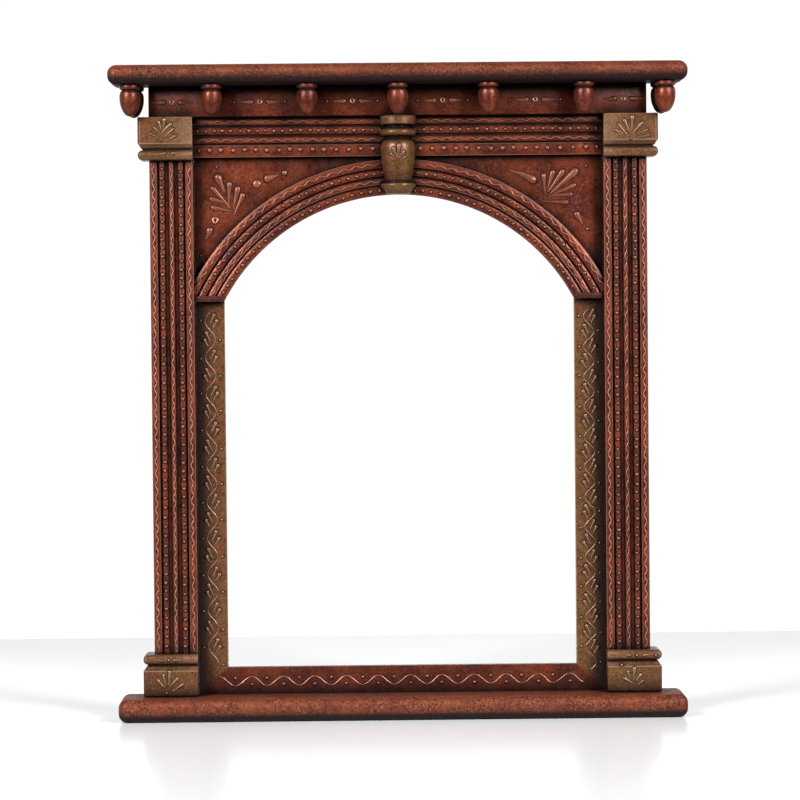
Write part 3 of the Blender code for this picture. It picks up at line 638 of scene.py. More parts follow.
class ARCHWAY_OT_blocks(ArchwayOperator, bpy.types.Operator):
    """Build the pedestals and the capitals with their leaves"""

    bl_idname = "archway.blocks"
    bl_label = "Pedestals and capitals"

    # Each drop: its radius, then its head and its tail in millimetres
    drops = {
        "capital_left": (
            (1.0, (-199.1, 473.3), (-190.7, 468.8)),
            (0.85, (-196.3, 478.2), (-190.3, 472.7)),
            (1.3, (-192.4, 482.4), (-190.0, 475.0)),
            (1.8, (-187.9, 483.9), (-188.7, 477.6)),
            (1.4, (-182.6, 480.7), (-188.6, 475.5), (-190.3, 472.4)),
            (1.1, (-180.6, 476.8), (-188.5, 470.3)),
            (1.1, (-178.7, 471.4), (-187.8, 466.9)),
            (1.1, (-187.2, 457.5), (-200.2, 456.3)),
            (1.1, (-181.5, 457.5), (-172.7, 457.8)),
        ),
        "capital_right": (
            (1.1, (175.1, 472.9), (182.7, 468.8)),
            (1.3, (177.6, 477.3), (185.8, 467.4)),
            (1.6, (182.5, 480.3), (187.1, 470.1)),
            (1.8, (188.7, 483.0), (188.3, 470.7)),
            (1.4, (196.4, 478.2), (187.4, 468.9)),
            (1.1, (200.4, 472.9), (188.6, 467.4)),
            (1.0, (201.6, 468.6), (191.1, 466.3)),
            (0.9, (183.9, 457.6), (180.3, 457.2)),
            (0.8, (192.2, 457.8), (198.6, 457.9)),
        ),
        "pedestal_left": (
            (1.4, (-197.7, 32.4), (-195.2, 28.8), (-191.1, 26.2)),
            (1.3, (-193.5, 36.6), (-191.1, 26.7)),
            (1.7, (-188.4, 38.9), (-189.2, 27.2)),
            (1.5, (-182.0, 33.8), (-188.5, 27.2)),
            (1.4, (-177.7, 29.1), (-186.0, 23.5)),
            (1.1, (-194.2, 48.6), (-201.9, 49.2)),
            (1.3, (-184.4, 48.8), (-175.4, 49.2)),
        ),
        "pedestal_right": (
            (1.4, (179.0, 30.0), (185.9, 25.8)),
            (1.4, (181.9, 35.4), (184.4, 28.7)),
            (1.8, (187.1, 37.9), (186.0, 28.1)),
            (1.4, (192.4, 33.0), (188.0, 27.6)),
            (1.0, (194.0, 28.0), (189.0, 24.0)),
            (1.3, (183.5, 48.9), (177.4, 49.2)),
            (1.2, (194.9, 49.0), (199.8, 49.1)),
        ),
    }
    dots = {
        "capital_left": (),
        "capital_right": ((0.9, 187.3, 465.9), (0.6, 188.3, 458.0)),
        "pedestal_left": ((1.1, -190.6, 21.8), (1.1, -189.0, 48.8)),
        "pedestal_right": (
            (0.8, 184.6, 22.0),
            (1.2, 189.2, 49.0),
            (1.1, 204.6, 49.0),
            (1.2, 176.8, 41.0),
        ),
    }

    @staticmethod
    def levels(height, tone):
        """(inset, rise, relief) up a block, from its foot to the top of its half-round."""
        face = height - GROOVE_HEIGHT - ROUND_HEIGHT
        # The foot's arris is painted darker: painted shade.
        levels = [(ARRIS, 0.0, SHADE), (0.3 * ARRIS, 0.3 * ARRIS, RUBBED), (0.0, ARRIS, tone)]
        edge = face - COVE_HEIGHT
        levels += [(0.0, 0.25 * face, tone), (0.0, edge - ARRIS, tone)]
        slope = 0.7 * (COVE_HEIGHT + GROOVE_HEIGHT)
        levels += [(0.0, edge - 0.4 * ARRIS, CREST), (0.3 * ARRIS, edge, CREST)]
        levels.append((ARRIS, edge + 0.2 * slope, PLAIN))
        levels.append((0.5 * ROUND_BULGE, edge + 0.6 * slope, PLAIN))
        # The cove is painted darker where it turns under towards the groove: painted shade.
        levels.append((0.7 * ROUND_BULGE, edge + slope, SHADE))
        levels.append((ROUND_BULGE, edge + 1.1 * slope, GROOVE))
        for step in range(ROUND_STEPS + 1):
            angle = math.pi * step / ROUND_STEPS
            inset = ROUND_BULGE * (1 - math.sin(angle))
            rise = face + GROOVE_HEIGHT + ROUND_HEIGHT / 2 * (1 - math.cos(angle))
            levels.append((inset, rise, GROOVE if step == 0 else PLAIN))
        return levels

    @staticmethod
    def block_surface(front, round_middle):
        """The block's front: a flat face and a half-round."""

        def surface(x, z):
            away = abs(z - round_middle) / (ROUND_HEIGHT / 2)
            if away > 1:
                return front
            return front + ROUND_BULGE * (1 - math.sqrt(1 - away**2))

        return surface

    def build(self, settings, hand, copper, sponged, brass):
        for node in self.drops:
            low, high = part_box(node)
            side = 1 if low.x > 0 else -1
            inner = min(abs(low.x), abs(high.x))
            outer = max(abs(low.x), abs(high.x))
            front, back, height = CAD_BLOCK_FRONT, high.y, high.z - low.z
            upright = node.startswith("pedestal")
            bm = new_shape()
            places = [(inner, back), (inner, front), (outer, front), (outer, back)]
            base = low.z if upright else high.z
            verts = [bm.verts.new((side * x, y, base)) for x, y in places]
            face = bm.faces.new(verts)
            ahead = back - ARRIS
            corner = [edge for edge in face.edges if all(vert.co.y < ahead for vert in edge.verts)]
            outer_corner = [vert for vert in corner[0].verts if abs(vert.co.x) > (inner + outer) / 2]
            soften(bm, outer_corner, CORNER_RADIUS, 6, "VERTICES")
            inner_corner = [vert for vert in bm.verts if abs(vert.co.x) == inner and vert.co.y < back]
            soften(bm, inner_corner, 0.5 * ARRIS, 2, "VERTICES")
            face = next(iter(bm.faces))
            outline = [vert.co.copy() for vert in face.verts]
            # Pedestals take the dim value: painted shade, as they get less light than the capitals.
            levels = self.levels(height, DIM if upright else PLAIN)
            for number, (inset, rise, relief) in enumerate(levels):
                level = low.z + rise if upright else high.z - rise
                if number:
                    made = bmesh.ops.extrude_face_region(bm, geom=[face])["geom"]
                    face = [item for item in made if isinstance(item, bmesh.types.BMFace)][0]
                for vert, place in zip(face.verts, outline):
                    across = (abs(place.x) - inner) / (outer - inner)
                    depth = (back - place.y) / (back - front)
                    vert.co = (place.x - side * inset * across, place.y + inset * depth, level)
                mark(bm, face.verts, relief)
                fore = [vert for vert in face.verts if vert.co.y < back]
                worn = [vert for vert in fore if abs(vert.co.x) < inner + ARRIS]
                mark(bm, worn, min(relief + SHADE, CREST))
            round_middle = high.z - ROUND_HEIGHT / 2 if upright else low.z + ROUND_HEIGHT / 2
            surface = self.block_surface(front, round_middle)
            add_drops(bm, surface, self.drops[node], settings.paste_rise)
            for radius, x, z in self.dots[node]:
                centre = Vector((x * MM, surface(x * MM, z * MM), z * MM))
                add_bead(bm, centre, radius * MM, 0.7 * radius * MM)
            finish(bm, node, brass, sharp=32)


class ARCHWAY_OT_pilasters(ArchwayOperator, bpy.types.Operator):
    """Build the pilasters with their reeds, beads and wavy lines"""

    bl_idname = "archway.pilasters"
    bl_label = "Pilasters"

    def build(self, settings, hand, copper, sponged, brass):
        for side, node in ((-1, "pilaster_left"), (1, "pilaster_right")):
            low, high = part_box(node)
            inner = min(abs(low.x), abs(high.x))
            bm = new_shape()
            places = []
            for across, height, relief in reed_profile(
                PILASTER_REEDS, PILASTER_HOLLOWS, high.y - low.y, high.x - low.x
            ):
                places.append((side * (inner + across), high.y - height, low.z, relief))
            face = bm.faces.new(chain(bm, places))
            extrude_face(bm, face, (0, 0, high.z - low.z))
            middles = reed_middles(PILASTER_REEDS, PILASTER_HOLLOWS)
            for number, across in enumerate(middles):
                reed = PILASTER_REEDS[number]

                def place(along, offset, across=across, reed=reed):
                    x = side * (inner + across) + offset
                    return Vector((x, low.y + reed_fall(reed, offset), low.z + LINE_END + along))

                length = high.z - low.z - 2 * LINE_END
                if number % 2:
                    bead_row(bm, hand, length, settings, place)
                    continue
                lay_cord(bm, reed_line(hand, length, settings, place), settings.line_radius)
                for way in (-1, 1) if number in (0, 4) else ():
                    edge = way * EDGE_LINE * reed
                    add_cord(bm, [place(0, edge), place(length, edge)], FINE_LINE, CREST)
            finish(bm, node, copper)


class ARCHWAY_OT_frieze(ArchwayOperator, bpy.types.Operator):
    """Build the frieze board with a ring and two leaves in each bay"""

    bl_idname = "archway.frieze"
    bl_label = "Frieze"

    bays = (-182.1, -111.1, -36.4, 36.4, 111.1, 182.1)
    motif_height = 0.0116
    leaf = (0.0070, 0.0165)
    leaf_radius = 0.0020

    def build(self, settings, hand, copper, sponged, brass):
        low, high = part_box("frieze_board")
        front = CAD_FRIEZE_FRONT
        bm = new_shape()
        # The board is painted dim: painted shade under the cornice.
        add_box(bm, (low.x, front, low.z), high, DIM, bevel=SOFT_EDGE)
        height = low.z + self.motif_height
        for number, middle in enumerate(self.bays):
            inner = 0 < number < len(self.bays) - 1
            x = middle * MM
            add_ring(bm, Vector((x, front, height)), 0.0022, 0.0007)
            for way in (-1, 1):
                path = [Vector((x + way * reach, height)) for reach in self.leaf]
                add_drop(bm, flat(front), path, self.leaf_radius, settings.paste_rise)
                if inner:
                    centre = Vector((x + way * 0.0205, front, height))
                    add_bead(bm, centre, 0.0011, 0.0008)
        finish(bm, "frieze_board", copper)


class ARCHWAY_OT_architrave(ArchwayOperator, bpy.types.Operator):
    """Build the straight strip of four reeds between the capitals"""

    bl_idname = "archway.architrave"
    bl_label = "Architrave"

    def build(self, settings, hand, copper, sponged, brass):
        low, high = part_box("architrave")
        bm = new_shape()
        places = []
        for across, height, relief in reed_profile(
            ARCHITRAVE_REEDS, ARCHITRAVE_HOLLOWS, high.y - low.y, high.z - low.z, ARCHITRAVE_LIP
        ):
            places.append((low.x, high.y - height, high.z - across, relief))
        face = bm.faces.new(chain(bm, places))
        extrude_face(bm, face, (high.x - low.x, 0, 0))
        length = high.x - low.x - 2 * LINE_END
        middles = reed_middles(ARCHITRAVE_REEDS, ARCHITRAVE_HOLLOWS, ARCHITRAVE_LIP)
        for number, across in enumerate(middles):
            reed = ARCHITRAVE_REEDS[number]

            def place(along, offset, across=across, reed=reed):
                fall = reed_fall(reed, offset)
                return Vector((low.x + LINE_END + along, low.y + fall, high.z - across + offset))

            if number == len(ARCHITRAVE_REEDS) - 1:

                def higher(along, offset, place=place):
                    return place(along, offset + ARCHITRAVE_LAST_RISE)

                bead_row(bm, hand, length, settings, higher, LARGE_BEAD)
                for edge in LAST_REED_LINES:
                    add_cord(bm, [place(0, edge * reed), place(length, edge * reed)], FINE_LINE, CREST)
            elif number % 2:
                bead_row(bm, hand, length, settings, place)
            else:
                lay_cord(bm, reed_line(hand, length, settings, place), settings.line_radius)
        finish(bm, "architrave", copper)


class ARCHWAY_OT_arch(ArchwayOperator, bpy.types.Operator):
    """Build the curved strip of four reeds and the plain pads at its feet"""

    bl_idname = "archway.arch"
    bl_label = "Arch moulding"

    def build(self, settings, hand, copper, sponged, brass):
        low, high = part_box("arch_moulding")
        front, back = CAD_ARCH_FRONT, high.y
        centre = Vector((0, 0, ARCH_CENTRE))
        end = ARCH_SPRING + ARCH_OVERRUN
        bm = new_shape()
        places = []
        width = sum(ARCH_REEDS) + sum(ARCH_HOLLOWS)
        for across, height, relief in reed_profile(ARCH_REEDS, ARCH_HOLLOWS, back - front, width):
            places.append((0, back - height, ARCH_CENTRE + ARCH_RADIUS + across, relief))
        face = bm.faces.new(chain(bm, places))
        bmesh.ops.rotate(bm, cent=centre, matrix=Matrix.Rotation(-end, 3, "Y"), verts=bm.verts)
        bmesh.ops.spin(
            bm,
            geom=[face, *face.edges, *face.verts],
            cent=centre,
            axis=(0, 1, 0),
            angle=2 * end,
            steps=ARCH_STEPS,
        )
        bmesh.ops.remove_doubles(bm, verts=bm.verts, dist=MERGE)
        for number, across in enumerate(reed_middles(ARCH_REEDS, ARCH_HOLLOWS)):
            reach = ARCH_RADIUS + across
            foot = math.acos(min(1.0, (low.z + PAD_HEIGHT - ARCH_CENTRE) / reach))
            reed = ARCH_REEDS[number]

            def place(along, offset, reach=reach, foot=foot, reed=reed):
                angle = along / reach - foot
                out = reach + offset
                fall = reed_fall(reed, offset)
                return Vector((out * math.sin(angle), front + fall, ARCH_CENTRE + out * math.cos(angle)))

            length = 2 * foot * reach
            if number % 2 == 0:
                bead_row(bm, hand, length, settings, place)
                continue
            lay_cord(bm, reed_line(hand, length, settings, place), settings.line_radius)
            edge = EDGE_LINE * reed * (1 if number > 1 else -1)
            line = [place(length * step / ARCH_STEPS, edge) for step in range(ARCH_STEPS + 1)]
            add_cord(bm, line, FINE_LINE, CREST)
        for point, way in (
            (Vector((0, 0, low.z + 0.0002)), Vector((0, 0, -1))),
            (Vector((low.x, 0, 0)), Vector((-1, 0, 0))),
            (Vector((high.x, 0, 0)), Vector((1, 0, 0))),
        ):
            cut(bm, point, way, clear=True)
            close_holes(bm)
        for side in (-1, 1):
            left, right = sorted((side * OPENING_HALF, side * high.x))
            start = (left, front - SOFT_EDGE, low.z)
            add_box(bm, start, (right, back, low.z + PAD_HEIGHT), PAD, bevel=SOFT_EDGE)
        finish(bm, "arch_moulding", copper)


class ARCHWAY_OT_spandrel(ArchwayOperator, bpy.types.Operator):
    """Build the panel round the arch with its raised palmettes, drops and dots"""

    bl_idname = "archway.spandrel"
    bl_label = "Spandrel panel"

    # Each drop: its radius, then its head and its tail in millimetres
    drops = (
        (3.0, (-145.9, 438.0), (-140.4, 425.3)),
        (2.1, (-136.7, 432.8), (-137.5, 413.2)),
        (2.5, (-130.0, 428.6), (-134.0, 412.6)),
        (2.1, (-126.0, 423.6), (-133.6, 406.7)),
        (1.9, (-150.1, 429.2), (-140.2, 418.4), (-136.6, 412.6)),
        (1.8, (-151.0, 420.8), (-139.7, 417.8), (-135.6, 412.6)),
        (1.8, (-150.3, 414.1), (-138.2, 411.4), (-133.6, 410.8)),
        (3.0, (-105.7, 436.9), (-96.4, 440.0)),
        (2.8, (-153.1, 395.3), (-157.1, 386.5)),
        (1.7, (118.2, 437.5), (118.6, 428.5), (119.3, 420.5)),
        (2.1, (125.4, 439.8), (120.9, 425.9)),
        (2.1, (133.4, 440.5), (121.6, 424.3)),
        (2.8, (143.8, 440.7), (123.2, 422.8)),
        (1.8, (142.4, 429.3), (125.8, 422.2)),
        (1.6, (139.5, 422.1), (125.8, 421.5), (121.6, 419.4)),
        (1.6, (136.6, 415.7), (116.9, 416.5), (113.8, 418.7)),
        (3.0, (109.3, 434.0), (101.6, 438.5), (92.8, 441.1), (88.4, 443.5)),
        (2.4, (144.8, 405.8), (149.6, 397.0)),
    )
    dots = (
        (1.1, -146.9, 447.0),
        (3.3, -114.5, 432.7),
        (2.2, -92.0, 441.4),
        (1.1, -160.5, 374.9),
        (1.3, 152.6, 445.2),
        (1.4, 153.0, 393.8),
    )
    ring = (3.0, -148.5, 403.5)
    arc_steps = 96

    def build(self, settings, hand, copper, sponged, brass):
        low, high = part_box("spandrel_panel")
        front, back = CAD_PANEL_FRONT, high.y
        bm = new_shape()
        corners = [
            (-OPENING_HALF, front, low.z, PLAIN),
            (low.x, front, low.z, PLAIN),
            (low.x, front, high.z, PLAIN),
            (high.x, front, high.z, PLAIN),
            (high.x, front, low.z, PLAIN),
            (OPENING_HALF, front, low.z, PLAIN),
        ]
        verts = chain(bm, corners)
        start = math.asin(OPENING_HALF / ARCH_RADIUS)
        arc = []
        for step in range(self.arc_steps + 1):
            angle = start * (1 - 2 * step / self.arc_steps)
            x = ARCH_RADIUS * math.sin(angle)
            arc.append((x, front, ARCH_CENTRE + ARCH_RADIUS * math.cos(angle), PLAIN))
        verts += chain(bm, arc)
        face = bm.faces.new(verts)
        extrude_face(bm, face, (0, back - front, 0))
        add_drops(bm, flat(front), self.drops, settings.paste_rise, PANEL_FULLNESS)
        for radius, x, z in self.dots:
            centre = Vector((x * MM, front, z * MM))
            rise = min(settings.paste_rise * radius * MM, BEAD_RISE)
            add_bead(bm, centre, radius * MM, rise, sides=14, rings=8)
        radius, x, z = self.ring
        add_ring(bm, Vector((x * MM, front, z * MM)), radius * MM, 0.0011)
        finish(bm, "spandrel_panel", copper)


class ARCHWAY_OT_stiles(ArchwayOperator, bpy.types.Operator):
    """Build the stiles with their budding vines"""

    bl_idname = "archway.stiles"
    bl_label = "Stiles"

    swing = 0.182
    dot_reach = 0.153
    bud_radius = 0.074
    foot = 0.0165
    head = 0.0085
    bands = (0.04, 0.35, 0.6, 0.8)
    pilaster_shade = 0.48
    vine_radius = 0.0004
    buds = (((0.40, 0), (0.255, -0.245)), ((0.33, 0.23), (0.17, -0.093)))

    def build(self, settings, hand, copper, sponged, brass):
        for node, side, period in (("stile_left", -1, 0.0303), ("stile_right", 1, 0.0240)):
            low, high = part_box(node)
            front, back = CAD_PANEL_FRONT, high.y
            width = high.x - low.x
            inner, outer = (high.x, low.x) if side < 0 else (low.x, high.x)
            rail_low, rail_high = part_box("bottom_rail")
            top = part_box("arch_moulding")[0].z - SEAM
            bm = new_shape()
            outline = [
                (inner, front, top, PLAIN),
                (inner, front, rail_high.z + SEAM, PLAIN),
                (outer, front, rail_low.z + SEAM, PLAIN),
                (outer, front, top, PLAIN),
            ]
            face = bm.faces.new(chain(bm, outline))
            extrude_face(bm, face, (0, back - front, 0))
            # The bands carry painted shade: the paint darkens across the face towards its outer edge, in
            # the pilaster's shade, and the inner edge is lightest.
            for share in self.bands:
                cut(bm, Vector((inner + (outer - inner) * share, 0, 0)), (1, 0, 0))
            for vert in bm.verts:
                share = (vert.co.x - inner) / (outer - inner)
                mark(bm, [vert], CREST if share < 0.01 else PLAIN - self.pilaster_shade * share)
            middle = (inner + outer) / 2
            start, end = rail_low.z + self.foot, high.z - self.head
            turns = max(1, round((end - start) / period))
            count = 12 * turns
            points = []
            for step in range(count + 1):
                x = middle + self.swing * width * math.sin(2 * math.pi * turns * step / count)
                points.append(Vector((x, front, start + (end - start) * step / count)))
            lay_cord(bm, points, self.vine_radius, PASTE)
            surface = flat(front)
            paste = new_shape()
            for i in range(2 * turns):
                way = 1 if i % 2 == 0 else -1
                x = middle + way * self.swing * width
                turn = Vector((x, start + (end - start) * (i + 0.5) / (2 * turns)))
                dot = turn + Vector((way * self.dot_reach * width, hand.uniform(-0.001, 0.001)))
                add_bead(paste, Vector((dot.x, front, dot.y)), 0.0011, 0.0008)
                if i == 0:
                    continue
                for bud in self.buds:
                    path = [turn + width * Vector((-way * out, up)) for out, up in bud]
                    jog = Vector((hand.uniform(-1, 1), hand.uniform(-1, 1))) * 0.0005
                    path[0] = path[0] + jog
                    add_drop(paste, surface, path, self.bud_radius * width, 0.75, 0.3, 3.0)
            absorb(bm, paste)
            finish(bm, node, brass)


class ARCHWAY_OT_rail(ArchwayOperator, bpy.types.Operator):
    """Build the bottom rail with its wave and dots"""

    bl_idname = "archway.rail"
    bl_label = "Bottom rail"

    reach = 0.1485
    half_waves = 23
    wave_steps = 7
    wave_height = 0.0098
    swing = 0.0038
    dot_rise = 0.0026
    dot_radius = 0.0015

    def build(self, settings, hand, copper, sponged, brass):
        low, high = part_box("bottom_rail")
        front, back = CAD_PANEL_FRONT, high.y
        bm = new_shape()
        # The rail is painted dim, darker still at its foot: painted shade.
        outline = [
            (OPENING_HALF, front, high.z, DIM),
            (-OPENING_HALF, front, high.z, DIM),
            (low.x, front, low.z, SHADE),
            (high.x, front, low.z, SHADE),
        ]
        face = bm.faces.new(chain(bm, outline))
        extrude_face(bm, face, (0, back - front, 0))
        middle = low.z + self.wave_height
        length = 2 * self.reach / self.half_waves
        turns = [-self.reach + length * number for number in range(self.half_waves + 1)]
        turns = [turn + hand.uniform(-0.06, 0.06) * length for turn in turns]
        points = []
        for number, (start, end) in enumerate(zip(turns, turns[1:])):
            way = 1 if number % 2 == 0 else -1
            for step in range(self.wave_steps):
                share = step / self.wave_steps
                rise = way * self.swing * math.cos(math.pi * share)
                points.append(Vector((start + (end - start) * share, front, middle + rise)))
        lay_cord(bm, points, settings.line_radius)
        for number, turn in enumerate(turns[1:-1], start=1):
            way = 1 if number % 2 else -1
            centre = Vector((turn, front, middle + way * self.dot_rise))
            add_bead(bm, centre, self.dot_radius * hand.uniform(0.85, 1.1), BEAD_RISE)
        finish(bm, "bottom_rail", copper)


def smooth_outline(places, resolution=6):
    """A soft curve through (radius, height, relief) places."""
    points = []
    last = len(places) - 1
    for i in range(last):
        before, start, end, after = (
            Vector(places[max(i - 1, 0)][:2]),
            Vector(places[i][:2]),
            Vector(places[i + 1][:2]),
            Vector(places[min(i + 2, last)][:2]),
        )
        handles = start + (end - before) / 6, end - (after - start) / 6
        for step, point in enumerate(interpolate_bezier(start, *handles, end, resolution)):
            if step < resolution - 1 or i == last - 1:
                share = step / (resolution - 1)
                relief = places[i][2] * (1 - share) + places[i + 1][2] * share
                points.append((max(point[0], 0.0), point[1], relief))
    return points


class ARCHWAY_OT_drops(ArchwayOperator, bpy.types.Operator):
    """Build the turned drops under the cornice"""

    bl_idname = "archway.drops"
    bl_label = "Drops"

    # Shares of the radius and of the length, and the relief
    profile = (
        # The top under the cornice and the groove below the ring are painted darker: painted shade, and
        # dark wax in the groove.
        (0.0, 0.0, GROOVE),
        (0.93, 0.0, SHADE),
        (1.0, 0.04, PLAIN),
        (1.0, 0.08, PLAIN),
        (0.93, 0.125, SHADE),
        (0.79, 0.15, GROOVE),
        (0.79, 0.175, GROOVE),
        (0.90, 0.21, SHADE),
        (0.97, 0.29, PLAIN),
        (0.99, 0.40, PLAIN),
        (0.95, 0.56, PLAIN),
        (0.84, 0.70, PLAIN),
        (0.65, 0.84, PLAIN),
        (0.38, 0.95, PLAIN),
        (0.0, 1.0, PLAIN),
    )

    def build(self, settings, hand, copper, sponged, brass):
        nodes = [f"drop_{number}" for number in range(1, 8)] + ["rear_drop_left", "rear_drop_right"]
        for node in nodes:
            low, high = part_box(node)
            middle = (low + high) / 2
            radius, length = (high.x - low.x) / 2, high.z - low.z
            bm = new_shape()
            places = []
            for reach, down, relief in smooth_outline(self.profile, 5):
                places.append((middle.x + radius * reach, middle.y, high.z - length * down, relief))
            verts = chain(bm, places)
            spin_row(bm, verts, middle, (0, 0, 1), 2 * math.pi, 32)
            bmesh.ops.remove_doubles(bm, verts=bm.verts, dist=MERGE)
            finish(bm, node, copper, sharp=50)


class ARCHWAY_OT_keystone(ArchwayOperator, bpy.types.Operator):
    """Build the turned half-round boss at the crown"""

    bl_idname = "archway.keystone"
    bl_label = "Keystone"

    # Shares of the radius and of the length, and the relief
    profile = (
        # The top, the lower body and the underside are painted darker: painted shade. The grooves keep
        # dark wax, and the rims are painted lighter: rubbed paint and a painted highlight.
        (0.0, 0.0, SHADE),
        (0.92, 0.0, RUBBED),
        (0.96, 0.012, RUBBED),
        (0.96, 0.09, PLAIN),
        (0.92, 0.113, SHADE),
        (0.68, 0.12, GROOVE),
        (0.66, 0.14, GROOVE),
        (0.68, 0.158, GROOVE),
        (0.90, 0.170, PLAIN),
        (0.99, 0.195, PLAIN),
        (1.0, 0.215, PLAIN),
        (0.95, 0.238, PLAIN),
        (0.84, 0.256, SHADE),
        (0.64, 0.268, GROOVE),
        (0.64, 0.283, GROOVE),
        (0.80, 0.315, SHADE),
        (0.91, 0.36, PLAIN),
        (0.945, 0.42, PLAIN),
        (0.94, 0.48, PLAIN),
        (0.90, 0.58, PLAIN),
        (0.82, 0.72, DIM),
        (0.73, 0.82, SHADE),
        (0.70, 0.846, GROOVE),
        (0.86, 0.864, PLAIN),
        (0.95, 0.875, RUBBED),
        (0.95, 0.895, PLAIN),
        (0.86, 0.93, PLAIN),
        (0.72, 0.97, SHADE),
        (0.60, 1.0, SHADE),
        (0.0, 1.0, SHADE),
    )
    # Each drop: its radius, then its head and its tail in millimetres
    drops = (
        (1.9, (0.7, 462.2), (-0.6, 451.7)),
        (1.8, (-3.7, 459.4), (-0.6, 451.7)),
        (1.4, (4.5, 456.8), (-0.2, 451.7)),
        (1.2, (-6.0, 455.3), (-2.2, 452.2)),
        (1.0, (5.5, 452.7), (1.4, 449.9)),
    )

    def build(self, settings, hand, copper, sponged, brass):
        low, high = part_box("keystone")
        radius, length, back = (high.x - low.x) / 2, high.z - low.z, high.y
        outline = smooth_outline(self.profile, 4)
        bm = new_shape()
        places = []
        for reach, down, relief in outline:
            places.append((-radius * reach, back, high.z - length * down, relief))
        verts = chain(bm, places)
        spin_row(bm, verts, (0, back, 0), (0, 0, 1), math.pi, 28)
        bmesh.ops.remove_doubles(bm, verts=bm.verts, dist=MERGE)
        close_holes(bm)

        def surface(x, z):
            down = (high.z - z) / length
            for (r0, z0, _), (r1, z1, _) in zip(outline, outline[1:]):
                if z0 <= down <= z1 and z1 > z0:
                    reach = radius * (r0 + (r1 - r0) * (down - z0) / (z1 - z0))
                    return back - math.sqrt(max(reach**2 - x**2, 0))
            return back

        add_drops(bm, surface, self.drops, settings.paste_rise)
        finish(bm, "keystone", brass, sharp=32)


# Studio


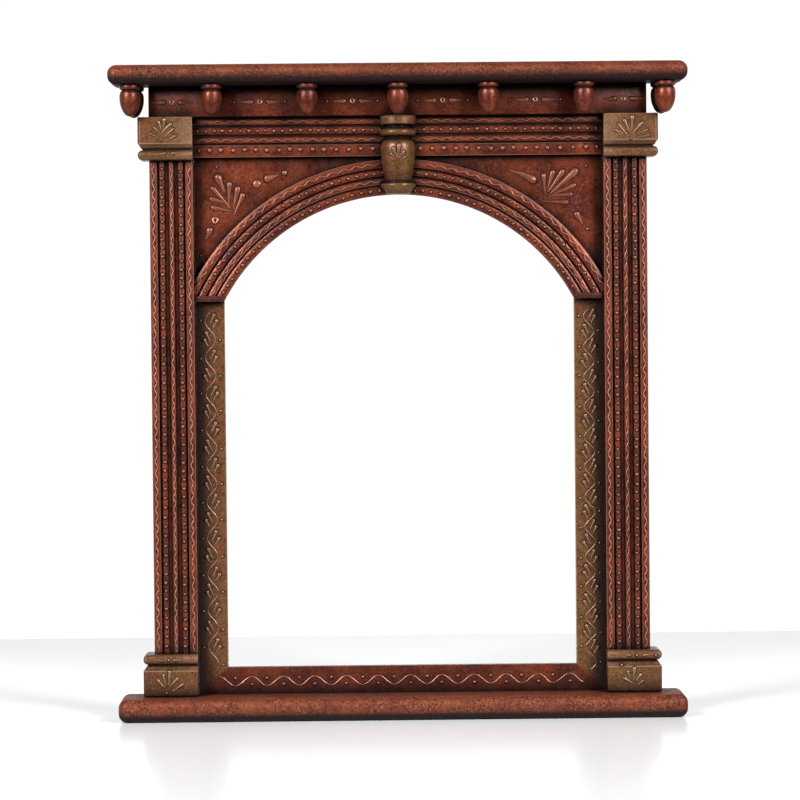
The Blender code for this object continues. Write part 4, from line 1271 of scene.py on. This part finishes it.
class ARCHWAY_OT_stage(bpy.types.Operator):
    """Build the pale table, the soft studio light and the camera"""

    bl_idname = "archway.stage"
    bl_label = "Stage"
    bl_options = {"REGISTER", "UNDO"}

    camera_place = (-0.0347, -2.723, 0.3314)
    camera_turns = (0.0126, -0.0273, -0.0094)
    focal_length = 151.92
    softboxes = ((-42, 24), (42, 24))
    softbox_size = (0.95, 1.3)
    softbox_reach = 3.0

    def execute(self, context):
        settings = context.scene.archway
        self.build_table()
        self.build_world(context.scene)
        for number, (azimuth, elevation) in enumerate(self.softboxes, start=1):
            self.build_softbox(f"softbox_{number}", azimuth, elevation, settings.light)
        self.build_camera(context.scene)
        context.scene.view_settings.view_transform = "Standard"
        return {"FINISHED"}

    def build_table(self):
        low, high = Vector((-1.6, -0.6, -0.03)), Vector((1.6, 0.69, 0.0))
        matrix = Matrix.Translation((low + high) / 2) @ Matrix.Diagonal((*(high - low), 1))
        bm = bmesh.new()
        bmesh.ops.create_cube(bm, size=1, matrix=matrix)
        mesh = bpy.data.meshes.new("pale_table")
        bm.to_mesh(mesh)
        bm.free()
        # White lacquer with a soft sheen, which gives the eye a faint reflection of the base
        material, tree = new_material("white_lacquered_table")
        place = add(tree, "TexCoord", {}, "Object")
        # Faint clouds of about 800 mm, as a sprayed sheet has
        cloud = {"Vector": place, "Scale": 1 / 0.8, "Detail": 2, "Roughness": 0.55, "Distortion": 0.0}
        cloud = add(tree, "TexNoise", cloud, "Fac")
        colours = {0: cloud, 6: linear("#d4d5d6"), 7: linear("#dadbdc")}
        colour = add(tree, "Mix", colours, 2, data_type="RGBA")
        lacquer = {"Base Color": colour, "Roughness": 0.22, "Metallic": 0.0}
        add(tree, "OutputMaterial", {0: add(tree, "BsdfPrincipled", lacquer)})
        mesh.materials.append(material)
        table = bpy.data.objects.new("pale_table", mesh)
        bpy.context.scene.collection.objects.link(table)

    def build_world(self, scene):
        """White behind the frame and dim in front of it, as a studio with a lit wall is."""
        world = bpy.data.worlds.new("studio")
        world.use_nodes = True
        tree = world.node_tree
        tree.nodes.clear()
        depth = add(tree, "SeparateXYZ", {0: add(tree, "TexCoord", {}, "Generated")}, "Y")
        colour = coat(tree, linear("#2a2a2c"), linear("#ffffff"), depth, 0.3, 0.7)
        light = add(tree, "Background", {"Color": colour, "Strength": 1.05})
        add(tree, "OutputWorld", {0: light})
        scene.world = world

    def build_softbox(self, name, azimuth, elevation, power):
        light = bpy.data.lights.new(name, "AREA")
        light.shape = "RECTANGLE"
        light.size, light.size_y = self.softbox_size
        light.energy = power
        box = bpy.data.objects.new(name, light)
        target = Vector((0, 0, 0.28))
        turn, lift = math.radians(azimuth), math.radians(elevation)
        way = Vector((math.sin(turn) * math.cos(lift), -math.cos(turn) * math.cos(lift), math.sin(lift)))
        box.location = target + self.softbox_reach * way
        box.rotation_euler = way.to_track_quat("Z", "Y").to_euler()
        bpy.context.scene.collection.objects.link(box)

    def build_camera(self, scene):
        camera = bpy.data.cameras.new("photo_camera")
        camera.sensor_width = 36
        camera.lens = self.focal_length
        camera.clip_end = 50
        view = bpy.data.objects.new("photo_camera", camera)
        yaw, pitch, roll = self.camera_turns
        turn = Matrix.Rotation(-yaw, 4, "Z") @ Matrix.Rotation(math.pi / 2 + pitch, 4, "X")
        turn = turn @ Matrix.Rotation(roll, 4, "Z")
        view.matrix_world = Matrix.Translation(self.camera_place) @ turn
        scene.collection.objects.link(view)
        scene.camera = view


OPERATORS = (
    ARCHWAY_OT_boards,
    ARCHWAY_OT_blocks,
    ARCHWAY_OT_pilasters,
    ARCHWAY_OT_frieze,
    ARCHWAY_OT_architrave,
    ARCHWAY_OT_arch,
    ARCHWAY_OT_spandrel,
    ARCHWAY_OT_stiles,
    ARCHWAY_OT_rail,
    ARCHWAY_OT_drops,
    ARCHWAY_OT_keystone,
    ARCHWAY_OT_stage,
)


class ARCHWAY_PT_panel(bpy.types.Panel):
    """The archway's settings and steps"""

    bl_label = "Arched table frame"
    bl_space_type = "VIEW_3D"
    bl_region_type = "UI"
    bl_category = "Archway"

    def draw(self, context):
        settings = context.scene.archway
        for name in ArchwaySettings.__annotations__:
            self.layout.prop(settings, name)
        for operator in OPERATORS:
            self.layout.operator(operator.bl_idname)


CLASSES = (ArchwaySettings, *OPERATORS, ARCHWAY_PT_panel)


def register():
    for item in CLASSES:
        bpy.utils.register_class(item)
    bpy.types.Scene.archway = PointerProperty(type=ArchwaySettings)


def unregister():
    del bpy.types.Scene.archway
    for item in reversed(CLASSES):
        bpy.utils.unregister_class(item)


def main():
    register()
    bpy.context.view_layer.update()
    for operator in OPERATORS:
        group, name = operator.bl_idname.split(".")
        getattr(getattr(bpy.ops, group), name)()


if __name__ == "__main__":
    main()
